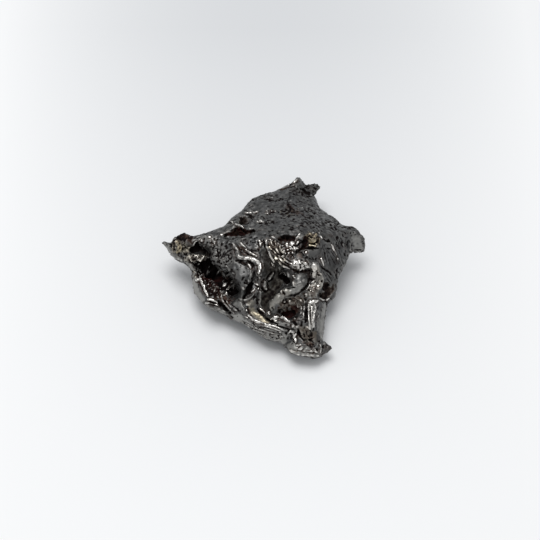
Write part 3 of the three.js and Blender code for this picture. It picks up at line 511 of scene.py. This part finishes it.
STANDING_RIB = [
    stain(1.2, (8.4, -7.0), (8.3, -11.0), pale=1.5, shine=0.5, calm=0.6),
    ridge(0.45, 0.4, (9.4, -6.1), (8.6, -6.4), (7.8, -6.6), shine=1.4),
    ridge(0.3, 0.45, (7.75, -6.9), (7.7, -8.2), (7.8, -9.6), (7.95, -11.9), shine=1.4),
    ridge(0.22, 0.3, (8.4, -7.0), (8.3, -8.4), (8.4, -9.8), shine=1.1),
    ridge(0.28, 0.3, (8.9, -6.9), (9.0, -7.8), (8.8, -8.6), shine=1.1),
    ridge(0.22, 0.25, (8.8, -8.9), (8.6, -10.2), shine=0.8),
    ridge(0.25, 0.25, (9.7, -8.8), (9.4, -9.8), shine=0.6),
    groove(0.18, 0.4, (8.1, -7.4), (8.05, -9.4), (8.2, -11.0), dark=0.95),
    groove(0.18, 0.35, (8.65, -7.4), (8.6, -9.4), dark=0.85),
    groove(0.2, 0.3, (9.3, -7.2), (9.2, -9.4), dark=0.85),
    groove(0.35, 0.5, (7.3, -7.0), (7.35, -9.0), (7.1, -10.5), dark=1.1, rust=0.3),
    ridge(0.25, 0.3, (6.9, -6.2), (6.8, -8.0), (6.6, -9.8), shine=0.65),
    ridge(0.25, 0.3, (6.3, -7.4), (6.2, -8.8), shine=0.6),
    *spots(pit, 5, 0.8, (8.6, -7.0), (8.4, -10.4), half=(0.14, 0.24), dark=0.9),
]
ANKLE = [
    stain(1.5, (6.6, -12.6), (8.4, -13.2), pale=0.3, rust=0.25, gold=0.25),
    ridge(0.35, 0.3, (3.7, -12.5), (4.1, -12.2), (4.7, -12.5), (4.6, -13.2), pale=1.1, shine=0.5),
    ridge(0.35, 0.4, (5.2, -12.8), (4.95, -13.5), (5.2, -14.4), shine=1.4),
    pit(0.3, 0.35, (4.15, -12.8), dark=1.0),
    groove(0.35, 0.5, (5.6, -11.8), (5.9, -12.9), (6.5, -13.9), dark=0.9, rust=0.6),
    groove(0.3, 0.3, (6.4, -13.9), (7.2, -14.0), dark=1.0),
    *row(groove, 4, (0.6, -0.1), 0.16, 0.15, (6.6, -11.9), (6.8, -12.6), (6.9, -13.4), dark=0.8),
    groove(0.3, 0.3, (7.8, -13.9), (8.6, -14.2), dark=0.9),
    stain(0.7, (6.8, -14.5), (8.4, -14.8), rust=0.5, dark=0.35),
    *spots(knob, 6, 1.0, (6.6, -12.6), (8.2, -14.4), half=(0.16, 0.32), gold=0.5, shine=0.5),
    *spots(pit, 8, 1.0, (6.6, -12.6), (8.2, -14.4), half=(0.16, 0.32), dark=0.9, rust=0.4),
    *spots(pit, 16, 0.9, (3.6, -12.8), (4.4, -14.2), half=(0.16, 0.32), dark=0.8),
]
FOOT = [
    stain(1.5, (4.2, -15.4), (6.4, -16.2), (9.4, -16.6), pale=1.1, calm=2.0),
    ridge(0.25, 0.35, (5.2, -15.1), (6.2, -15.0), shine=1.0),
    ridge(0.3, 0.35, (5.6, -15.9), (6.8, -15.4), shine=1.0),
    ridge(0.4, 0.2, (3.9, -16.0), (5.2, -16.7), (7.4, -17.0), (9.6, -17.1), pale=1.2, shine=0.6),
    ridge(0.2, 0.15, (6.2, -16.3), (7.8, -16.3), (9.0, -16.2), shine=0.5),
    groove(0.16, 0.14, (4.4, -15.9), (6.8, -16.5), (9.2, -16.6), dark=0.5),
    pit(0.5, 0.45, (9.5, -15.9), dark=1.0, rust=0.6),
    ridge(0.25, 0.3, (8.9, -15.4), (9.0, -16.2), (9.6, -16.6), shine=0.7),
    ridge(0.25, 0.2, (10.0, -14.9), (10.2, -15.8), (10.0, -16.7), shine=0.7),
    groove(0.3, 0.3, (10.6, -15.0), (10.5, -16.2), dark=0.9),
    stain(0.9, (11.2, -15.5), (11.6, -15.8), dark=0.35, rust=0.2),
    *spots(pit, 12, 0.8, (7.2, -15.6), (9.2, -15.2), half=(0.16, 0.3), dark=0.8, rust=0.5),
]
CREVICE = [
    groove(0.6, 0.7, (-9.0, 6.95), (-7.4, 7.3), (-5.6, 7.5), (-3.2, 7.85), rust=1.4, dark=0.6),
    groove(0.7, 0.8, (-7.4, 7.7), (-6.4, 8.1), (-5.2, 7.9), rust=1.5, dark=0.5),
    ridge(0.3, 0.35, (-6.9, 9.1), (-6.0, 8.8), (-5.4, 8.4), shine=0.8),
    groove(0.7, 0.5, (-5.8, 9.3), (-5.2, 10.0), (-4.9, 10.5), dark=0.62, rust=0.4, gold=0.2),
    groove(0.5, 0.4, (-5.8, 10.6), (-5.4, 9.8), dark=1.0, rust=0.5),
    groove(0.4, 0.3, (-4.4, 10.6), (-3.4, 10.9), dark=0.9, gold=0.2),
]
BACK_FACE = [
    ridge(0.25, 0.25, (-5.4, 11.5), (-4.4, 11.3), (-3.4, 11.4), (-2.4, 11.6), shine=0.8),
    ridge(0.25, 0.2, (-4.8, 11.9), (-3.4, 11.8), shine=0.4),
    groove(0.25, 0.25, (-5.2, 11.2), (-3.6, 11.0), dark=0.8),
    groove(0.3, 0.35, (-2.4, 9.9), (-2.0, 9.4), (-1.3, 9.3), dark=1.0),
    ridge(0.25, 0.25, (-2.6, 9.6), (-1.9, 9.8), (-1.2, 9.5), shine=1.2),
    groove(0.25, 0.25, (-0.4, 9.5), (0.2, 9.3), dark=0.9),
    ridge(0.25, 0.25, (-8.4, 9.7), (-7.9, 9.9), (-7.4, 9.3), shine=1.0),
    pit(0.45, 0.35, (-8.1, 9.4), dark=1.8),
    stain(1.0, (3.6, 12.9), (4.4, 12.0), (5.8, 11.4), rust=0.4, dark=0.45),
    groove(0.3, 0.2, (3.2, 13.3), (3.9, 12.6), (4.6, 12.1), (5.6, 11.7), dark=1.2, rust=0.5),
    groove(0.3, 0.2, (4.2, 12.3), (3.7, 11.6), (2.8, 11.1), dark=1.1, rust=0.4),
    *spots(pit, 44, 1.3, (2.6, 11.1), (4.2, 12.2), (6.0, 11.4), half=(0.2, 0.45), dark=1.3, rust=0.4),
    *spots(knob, 10, 1.2, (2.8, 11.2), (5.8, 11.6), half=(0.16, 0.3), gold=0.5, shine=0.4),
    *spots(pit, 16, 0.7, (-0.8, 14.6), (0.6, 14.4), dark=1.0, rust=0.4),
    *spots(knob, 6, 0.7, (-0.8, 14.6), (0.6, 14.4), half=(0.16, 0.26), pale=1.0, shine=0.3),
    *spots(pit, 12, 0.5, (-0.6, 11.6), (0.8, 11.4), dark=1.0),
    *spots(knob, 10, 0.5, (-0.6, 11.8), (0.8, 11.6), half=(0.16, 0.28), pale=1.0, shine=0.9),
    *spots(pit, 90, 2.8, (-4.0, 12.6), (2.0, 9.4), (8.0, 9.6), (7.0, 13.4), half=(0.14, 0.32), dark=1.2),
    *spots(knob, 40, 2.8, (-4.0, 12.6), (2.0, 9.4), (8.0, 9.6), (7.0, 13.4), half=(0.14, 0.3), pale=0.9),
]
BACK_POINT = [
    # The darkening over the back point and the black groove below its right side are painted shade
    stain(1.7, (5.2, 16.0), (7.0, 15.4), (8.4, 16.2), dark=0.42),
    ridge(0.35, 0.25, (5.4, 18.0), (4.8, 17.4), shine=0.8),
    ridge(0.25, 0.25, (4.7, 17.4), (3.4, 16.7), (2.2, 16.1), shine=0.5),
    groove(0.3, 0.3, (1.9, 16.0), (2.6, 16.1), (3.2, 16.4), rust=1.0, dark=0.8),
    groove(0.3, 0.3, (3.6, 16.6), (4.3, 16.6), (5.0, 16.9), dark=1.1, rust=0.6),
    groove(0.6, 0.35, (6.8, 16.2), (7.4, 15.5), (8.4, 14.9), dark=1.3),
    pit(0.35, 0.25, (9.1, 16.3), dark=1.0, rust=0.4),
    groove(0.3, 0.3, (7.3, 16.9), (7.4, 16.3), dark=0.8),
    *spots(pit, 44, 1.3, (4.6, 16.4), (7.4, 15.0), (8.2, 16.4), half=(0.16, 0.36), dark=1.2),
]
TRACED = (
    LEFT_ARM + UPPER_POCKET + BRIDGE + GREAT_HOLLOW + RIM_OF_THE_HOLLOW + PITTED_FACE + BELLY + TONGUE
    + WINDING_RIDGE + LONG_FOLDS + RUGGED_BAND + GOLD_KNOB + SHINING_KNOB + BASIN + FINGER + FINGER_UNDERSIDE
    + LIP + BELT + RIGHT_FOLD + FLANK + FIN + STANDING_RIB + ANKLE + FOOT + CREVICE + BACK_FACE + BACK_POINT
)
PAINTS = ("shine", "pale", "gold", "rust", "dark", "calm")


# The stone's mesh

def smoothstep(low, high, value):
    share = np.clip((value - low) / (high - low), 0.0, 1.0)
    return share * share * (3.0 - 2.0 * share)


def apply_modifiers(stone):
    """Replaces the stone's mesh by what its modifiers make of it."""
    before = stone.data
    stone.data = bpy.data.meshes.new_from_object(stone.evaluated_get(bpy.context.evaluated_depsgraph_get()))
    stone.modifiers.clear()
    bpy.data.meshes.remove(before)


def evenly_meshed(node):
    """The node's shape as an even mesh of small faces."""
    mesh = bpy.data.meshes.new("meteorite_stone")
    welded = bmesh.new()
    welded.from_mesh(node.data)
    bmesh.ops.remove_doubles(welded, verts=welded.verts, dist=0.001 * MM)
    welded.to_mesh(mesh)
    welded.free()
    stone = bpy.data.objects.new("meteorite_stone", mesh)
    bpy.context.scene.collection.objects.link(stone)
    remesh = stone.modifiers.new("even mesh", "REMESH")
    remesh.mode = "VOXEL"
    remesh.voxel_size = MESH_STEP * MM
    apply_modifiers(stone)
    return stone


class Surface:
    """The stone's vertices in millimetres, with what is needed to smooth, raise and paint them."""

    def __init__(self, mesh):
        self.mesh = mesh
        count = len(mesh.vertices)
        self.points = np.empty(count * 3)
        mesh.vertices.foreach_get("co", self.points)
        self.points = self.points.reshape(-1, 3) / MM
        edges = np.empty(len(mesh.edges) * 2, dtype=np.int64)
        mesh.edges.foreach_get("vertices", edges)
        self.starts, self.ends = edges.reshape(-1, 2).T
        self.degrees = np.bincount(self.starts, minlength=count) + np.bincount(self.ends, minlength=count)
        self.paint = {name: np.zeros(count) for name in PAINTS}

    def mean_of_neighbours(self, values):
        sums = np.empty_like(values)
        for axis in range(values.shape[1]):
            column = values[:, axis]
            sums[:, axis] = np.bincount(self.starts, column[self.ends], len(values))
            sums[:, axis] += np.bincount(self.ends, column[self.starts], len(values))
        return sums / self.degrees[:, None]

    def smoothed(self, values, passes, share=0.5):
        for _ in range(passes):
            values = (1.0 - share) * values + share * self.mean_of_neighbours(values)
        return values

    def round_facets(self, passes):
        """Smoothing that swells the shape back after each pass, so that points and edges don't shrink."""
        for _ in range(passes):
            self.points = self.smoothed(self.points, 1, share=0.5)
            self.points = self.smoothed(self.points, 1, share=-0.52)

    def store(self):
        self.mesh.vertices.foreach_set("co", (self.points * MM).ravel())
        self.mesh.update()

    def normals(self, passes):
        self.store()
        found = np.empty(len(self.points) * 3)
        self.mesh.vertices.foreach_get("normal", found)
        found = self.smoothed(found.reshape(-1, 3), passes)
        return found / np.linalg.norm(found, axis=1, keepdims=True)

    def tree(self):
        self.store()
        corners = [tuple(polygon.vertices) for polygon in self.mesh.polygons]
        return BVHTree.FromPolygons(self.points.tolist(), corners)

    def lay_paint(self, name, places, amounts):
        """Leaves at least these amounts of a paint on the vertices at these places."""
        kept = self.paint[name]
        kept[places] = np.maximum(kept[places], np.clip(amounts, 0.0, 1.0))

    def noise_at(self, size, seed, stretch=(1.0, 1.0, 1.0)):
        """Smooth noise from about -1 to 1 whose lumps have this size in millimetres."""
        places = self.points / (size * np.array(stretch)) + seed * 17.3
        return np.array([noise.noise(Vector(place)) for place in places])


def along(path):
    """Points every PATH_STEP along the smooth curve through a stroke's path."""
    if len(path) == 1:
        return np.array(path)
    knots = np.array([path[0], *path, path[-1]], dtype=float)
    points = []
    for before, start, end, after in zip(knots, knots[1:], knots[2:], knots[3:]):
        steps = max(int(np.linalg.norm(end - start) / PATH_STEP), 1)
        for share in np.arange(steps) / steps:
            bend = (2 * before - 5 * start + 4 * end - after) * share**2
            twist = (3 * start - before - 3 * end + after) * share**3
            points.append(start + 0.5 * ((end - before) * share + bend + twist))
    points.append(knots[-1])
    return np.array(points)


def laid_on(tree, path):
    """A stroke's path as places on the stone, where the main view sees it, and the normal there."""
    places, normals = [], []
    for u, v in along(path):
        target = SIGHT_POINT + u * ACROSS + v * UPWARDS
        place, normal, _, _ = tree.ray_cast(Vector(EYE), Vector(target - EYE).normalized())
        if place is not None:
            places.append(place)
            normals.append(normal)
    return np.array(places), np.array(normals)


def half_widths(half, count):
    """A stroke's half width at each of its points: a thin one is widest in its middle."""
    if count == 1 or half > WIDEST_TAPERED:
        return np.full(count, half)
    return half * (0.6 + 0.5 * np.sin(np.linspace(0.0, math.pi, count)))


def distance_to_line(points, line, halves):
    """How far the points are from a line, as a share of its half width there."""
    nearest = np.linalg.norm(points - line[0], axis=1) / halves[0]
    for start, end, half, next_half in zip(line, line[1:], halves, halves[1:]):
        run = end - start
        share = np.clip((points - start) @ run / max(run @ run, 1e-9), 0.0, 1.0)
        away = np.linalg.norm(points - start - share[:, None] * run, axis=1)
        nearest = np.minimum(nearest, away / (half + share * (next_half - half)))
    return nearest


def sculpt(surface, strokes):
    """Raises and carves all the strokes at once, and paints what they leave on the metal."""
    tree = surface.tree()
    normals = surface.normals(passes=6)
    order = np.argsort(surface.points[:, 0])
    ordered_x = surface.points[order, 0]
    ragged = 0.35 * surface.noise_at(1.0, seed=1) + 0.4 * surface.noise_at(0.42, seed=2)
    uneven = 1.0 + 0.7 * surface.noise_at(1.4, seed=3)
    broken = 0.8 + 1.0 * surface.noise_at(0.6, seed=4)
    rises = np.zeros(len(surface.points))
    for stroke in strokes:
        line, facing = laid_on(tree, stroke["path"])
        if len(line) == 0:
            continue
        half, rise, paint = stroke["half"], stroke["rise"], stroke["paint"]
        shine, dark = paint.get("shine", 0.0), paint.get("dark", 0.0)
        low, high = line.min(0) - 2.0 * half, line.max(0) + 2.0 * half
        first, last = np.searchsorted(ordered_x, (low[0], high[0]))
        near = order[first:last]
        near = near[np.all((surface.points[near] > low) & (surface.points[near] < high), axis=1)]
        near = near[normals[near] @ facing.mean(0) > -0.2]
        share = distance_to_line(surface.points[near], line, half_widths(half, len(line))) + ragged[near]
        rises[near] += rise * (1.0 - smoothstep(0.1, 1.0, share)) * uneven[near]
        patchiness = broken[near] if half <= WIDEST_TAPERED else 0.5 + 0.5 * broken[near]
        left = (1.0 - smoothstep(0.4, 1.0, share)) * patchiness
        for name, amount in {"calm": shine, **paint}.items():
            surface.lay_paint(name, near, amount * left)
        if rise < 0.0 and half < WIDEST_TAPERED:
            surface.paint["shine"][near] *= 1.0 - np.clip(dark * left, 0.0, 1.0)
        if rise > 0.0 and half < WIDEST_TAPERED:
            beside = smoothstep(0.8, 1.1, share) * (1.0 - smoothstep(1.2, 1.7, share))
            rises[near] -= TRENCH_SHARE * rise * beside
            beside *= broken[near] * min(shine, 1.0)
            # The trench is blackened: crust, and painted shade in the trench
            surface.lay_paint("dark", near, TRENCH_DARK * beside)
            surface.lay_paint("rust", near, TRENCH_RUST * beside)
    surface.points += rises[:, None] * normals


def roughen(surface):
    """Fine unevenness over the whole stone: creases, lumps and pits, and streaks on the back face."""
    normals = surface.normals(passes=2)
    back = smoothstep(0.15, 0.45, normals[:, 1]) * smoothstep(0.1, 0.45, normals[:, 2])
    rough = 1.0 - 0.85 * np.maximum(surface.paint["calm"], back)
    creases = np.clip(1.0 - np.abs(surface.noise_at(1.6, seed=5)) / 0.3, 0.0, 1.0)
    lumps = surface.noise_at(0.85, seed=6)
    dimples = smoothstep(0.25, 0.55, surface.noise_at(0.7, seed=7))
    specks = smoothstep(0.3, 0.55, surface.noise_at(0.4, seed=8))
    grain = surface.noise_at(0.36, seed=9)
    rises = CREASE_HEIGHT * (creases - 0.3) + LUMP_HEIGHT * lumps
    rises = rough * (rises - DIMPLE_DEPTH * dimples - SPECK_DEPTH * specks + GRAIN_HEIGHT * grain)
    patches = np.clip(0.7 + 1.0 * surface.noise_at(2.8, seed=14), 0.25, 1.0)
    streaks = surface.noise_at(0.4, seed=10, stretch=(1.8, 1.7, 1.0))
    dents = surface.noise_at(0.39, seed=11, stretch=(1.2, 1.8, 1.0)) + 0.6 * surface.noise_at(1.2, seed=15)
    dents = smoothstep(0.06, 0.36, dents)
    rises += back * (STREAK_HEIGHT * streaks - DENT_DEPTH * dents * patches)
    surface.points += rises[:, None] * normals
    flecks = patches * np.maximum(0.95 * dents, 0.8 * smoothstep(0.05, 0.4, -streaks))
    everywhere = slice(None)
    # Black paint in the dimples, specks and back-face dents: crust and painted shade in them
    surface.lay_paint("dark", everywhere, rough * np.maximum(0.9 * dimples, 0.6 * specks))
    surface.lay_paint("dark", everywhere, back * flecks)
    surface.lay_paint("pale", everywhere, 0.5 * back * smoothstep(0.1, 0.5, streaks))


def wear(surface):
    """Worn edges, and hollows filled with rust and blackened with painted shade, from how far each vertex
    stands out of the metal around it.
    """
    normals = surface.normals(passes=1)
    close = surface.smoothed(surface.points, passes=3)
    around = surface.smoothed(close, passes=16)
    wider = surface.smoothed(around, passes=56, share=0.8)
    edge = np.sum((close - around) * normals, axis=1)
    rise = np.sum((around - wider) * normals, axis=1)
    patchy = np.clip(0.5 + 0.9 * surface.noise_at(2.2, seed=12), 0.0, 1.0)
    tarnish = np.clip(0.2 + 0.8 * surface.noise_at(1.7, seed=13), 0.0, 1.0)
    front = 1.0 - smoothstep(0.0, 0.4, normals[:, 1])
    paint = surface.paint
    worn = smoothstep(0.02, 0.1, edge) * patchy * (1.0 - 0.6 * paint["calm"])
    hollow = smoothstep(0.08, 0.45, -rise)
    paint["shine"] = np.maximum(paint["shine"], 0.5 * worn) * (1.0 - 0.35 * hollow)
    paint["pale"] = np.maximum(paint["pale"], 0.6 * smoothstep(-0.02, 0.06, edge) * patchy)
    # Painted shade: the hollows are blackened, less where the metal is pale
    paint["dark"] = np.maximum(paint["dark"], 0.7 * hollow * (1.0 - 0.7 * paint["pale"]))
    tarnish *= (0.5 * hollow + 0.3 * front) * (1.0 - 0.8 * paint["calm"])
    paint["rust"] = np.maximum(paint["rust"], tarnish)


def rest_on_floor(surface):
    surface.points[:, 2] = np.maximum(surface.points[:, 2], 0.0)


def thin_out(stone):
    """Joins faces where the stone is smooth, down to MOST_TRIANGLES."""
    triangles = sum(len(polygon.vertices) - 2 for polygon in stone.data.polygons)
    thinning = stone.modifiers.new("thinning", "DECIMATE")
    thinning.ratio = min(MOST_TRIANGLES / triangles, 1.0)
    apply_modifiers(stone)


def make_stone():
    stone = evenly_meshed(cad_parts["meteorite"])
    surface = Surface(stone.data)
    surface.round_facets(passes=12)
    sculpt(surface, TRACED)
    roughen(surface)
    wear(surface)
    rest_on_floor(surface)
    surface.store()
    for name, values in surface.paint.items():
        layer = stone.data.attributes.new(name, "FLOAT", "POINT")
        layer.data.foreach_set("value", values.astype(np.float32))
    thin_out(stone)
    stone.data.shade_smooth()
    stone.data.materials.append(meteoritic_iron())
    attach(stone, "root")
    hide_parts("meteorite")


# Materials

class Nodes:
    """A new material's nodes, with short calls for making and joining them."""

    def __init__(self, name):
        self.material = bpy.data.materials.new(name)
        self.material.use_nodes = True
        self.tree = self.material.node_tree
        self.shader = self.tree.nodes["Principled BSDF"].inputs

    def feed(self, socket, value):
        """Sets a socket to a number or a colour, or joins it to an output of another node."""
        if isinstance(value, float):
            socket.default_value = value
        elif isinstance(value, tuple):
            socket.default_value = (*value, 1.0)
        else:
            self.tree.links.new(value, socket)

    def made(self, kind, output, inputs, **settings):
        """An output of a new node of this kind, with these inputs and settings."""
        node = self.tree.nodes.new(kind)
        for name, value in settings.items():
            setattr(node, name, value)
        for socket, value in inputs.items():
            self.feed(node.inputs[socket], value)
        return node.outputs[output]

    def place(self):
        return self.made("ShaderNodeTexCoord", "Object", {})

    def painted(self, name):
        return self.made("ShaderNodeAttribute", "Fac", {}, attribute_name=name)

    def mix_colour(self, share, first, second):
        return self.made("ShaderNodeMix", 2, {0: share, 6: first, 7: second}, data_type="RGBA")

    def mix_value(self, share, first, second):
        return self.made("ShaderNodeMix", 0, {0: share, 2: first, 3: second}, data_type="FLOAT")

    def ramp(self, value, low, high):
        limits = {"Value": value, "From Min": low, "From Max": high}
        return self.made("ShaderNodeMapRange", "Result", limits, interpolation_type="SMOOTHSTEP")

    def add_up(self, value, other, amount):
        """The value plus an amount of the other."""
        return self.made("ShaderNodeMath", "Value", {0: other, 1: amount, 2: value}, operation="MULTIPLY_ADD")

    def product(self, first, second):
        return self.made("ShaderNodeMath", "Value", {0: first, 1: second}, operation="MULTIPLY")

    def pinholes(self, place, scale):
        """1 in small round spots, one to a cell, and 0 between them."""
        distance = self.made("ShaderNodeTexVoronoi", "Distance", {"Vector": place, "Scale": scale})
        return self.ramp(distance, 0.34, 0.14)

    def grain(self, place, scale):
        return self.made("ShaderNodeTexNoise", "Fac", {"Vector": place, "Scale": scale, "Detail": 3.0})


def meteoritic_iron():
    """Dark crust over grey, yellow and worn bright metal, with rust, pinholes and a fine grain; its black
    also paints shade in hollows, grooves, pits and pinholes.
    """
    nodes = Nodes("meteoritic_iron")
    place = nodes.place()
    fine = nodes.grain(place, FINE_SCALE)
    broad = nodes.grain(place, BROAD_SCALE)
    shine, pale, gold, rust, dark, calm = (nodes.painted(name) for name in PAINTS)
    bright = nodes.ramp(nodes.add_up(shine, fine, 0.35), 0.42, 0.9)
    dark = nodes.ramp(nodes.add_up(dark, fine, 0.4), 0.35, 0.9)
    pinholes = nodes.pinholes(place, PINHOLE_SCALE)
    pinholes = nodes.product(pinholes, nodes.ramp(broad, 0.42, 0.62))
    pinholes = nodes.product(pinholes, nodes.ramp(calm, 0.7, 0.2))

    colour = nodes.mix_colour(nodes.ramp(broad, 0.3, 0.7), DARK_METAL, GREY_METAL)
    colour = nodes.mix_colour(pale, colour, PALE_METAL)
    colour = nodes.mix_colour(gold, colour, YELLOW_METAL)
    colour = nodes.mix_colour(nodes.ramp(rust, 0.0, 0.5), colour, BROWN_RUST)
    colour = nodes.mix_colour(nodes.ramp(rust, 0.5, 1.0), colour, RED_RUST)
    # Black crust, and painted shade where the dark paint lies in hollows, grooves and pits
    colour = nodes.mix_colour(dark, colour, BLACK_CRUST_AND_SHADE)
    worn_metal = nodes.mix_colour(gold, BRIGHT_METAL, BRIGHT_YELLOW)
    colour = nodes.mix_colour(bright, colour, worn_metal)
    # Near black in the pinholes: painted shade, as their depth is only a bump
    colour = nodes.mix_colour(pinholes, colour, PINHOLE)
    roughness = nodes.mix_value(nodes.ramp(fine, 0.3, 0.7), LEAST_DULL, DULLEST)
    roughness = nodes.mix_value(rust, roughness, RUST_ROUGHNESS)
    roughness = nodes.mix_value(dark, roughness, CRUST_ROUGHNESS)
    metal = nodes.mix_value(dark, nodes.mix_value(rust, 0.95, 0.2), 0.0)
    height = nodes.add_up(fine, pinholes, -0.8)
    bump = {"Strength": 0.35, "Distance": BUMP_HEIGHT * MM, "Height": height}

    nodes.feed(nodes.shader["Base Color"], colour)
    nodes.feed(nodes.shader["Roughness"], nodes.mix_value(bright, roughness, BRIGHT_ROUGHNESS))
    nodes.feed(nodes.shader["Metallic"], nodes.mix_value(bright, metal, 1.0))
    nodes.feed(nodes.shader["Specular IOR Level"], 0.05)
    nodes.feed(nodes.shader["Normal"], nodes.made("ShaderNodeBump", "Normal", bump))
    return nodes.material


def pale_floor():
    """White, with painted shade behind the stone and painted light to the front and the sides."""
    nodes = Nodes("pale_floor")
    place = nodes.place()
    x, y = (nodes.made("ShaderNodeSeparateXYZ", axis, {"Vector": place}) for axis in "XY")
    front = {"Value": y, "From Min": 75.0 * MM, "From Max": -75.0 * MM}
    side = {"Value": nodes.product(x, x), "From Max": (60.0 * MM) ** 2, "To Max": 0.7}
    to_front = nodes.made("ShaderNodeMapRange", "Result", front)
    to_side = nodes.made("ShaderNodeMapRange", "Result", side)
    colour = nodes.mix_colour(to_front, FLOOR_SHADED_BEHIND, FLOOR_LIT_IN_FRONT)
    nodes.feed(nodes.shader["Base Color"], nodes.mix_colour(to_side, colour, FLOOR_LIT_ASIDE))
    nodes.feed(nodes.shader["Roughness"], 0.9)
    nodes.feed(nodes.shader["Specular IOR Level"], 0.0)
    return nodes.material


# Floor, light and camera

def make_stage():
    bpy.ops.mesh.primitive_plane_add(size=FLOOR_WIDTH * MM)
    floor = bpy.context.object
    floor.name = "floor"
    floor.data.materials.append(pale_floor())


def make_light():
    """A pale sky, and a round softbox overhead that faces the stone."""
    world = bpy.data.worlds.new("studio")
    world.use_nodes = True
    background = world.node_tree.nodes["Background"]
    background.inputs["Color"].default_value = (*SKY, 1.0)
    background.inputs["Strength"].default_value = SKY_STRENGTH
    bpy.context.scene.world = world
    softbox = bpy.data.objects.new("overhead", bpy.data.lights.new("overhead", "AREA"))
    softbox.data.shape = "DISK"
    softbox.data.size = LIGHT_WIDTH * MM
    softbox.data.energy = LIGHT_POWER
    softbox.location = LIGHT_PLACE * MM
    softbox.rotation_euler = Vector(-LIGHT_PLACE).to_track_quat("-Z", "Y").to_euler()
    bpy.context.scene.collection.objects.link(softbox)


def make_camera():
    camera = bpy.data.objects.new("camera", bpy.data.cameras.new("camera"))
    camera.data.sensor_fit = "HORIZONTAL"
    camera.data.sensor_width = SENSOR_WIDTH
    camera.data.lens = SENSOR_WIDTH * VIEW_DISTANCE / (2.0 * VIEW_HALF_WIDTH)
    camera.data.clip_start = 0.01
    camera.location = EYE * MM
    camera.rotation_euler = (math.pi / 2 - VIEW_ELEVATION, 0.0, 0.0)
    bpy.context.scene.collection.objects.link(camera)
    bpy.context.scene.camera = camera


make_camera()
make_stage()
make_light()
make_stone()
bpy.context.scene.view_settings.view_transform = "Standard"

bpy.context.view_layer.update()
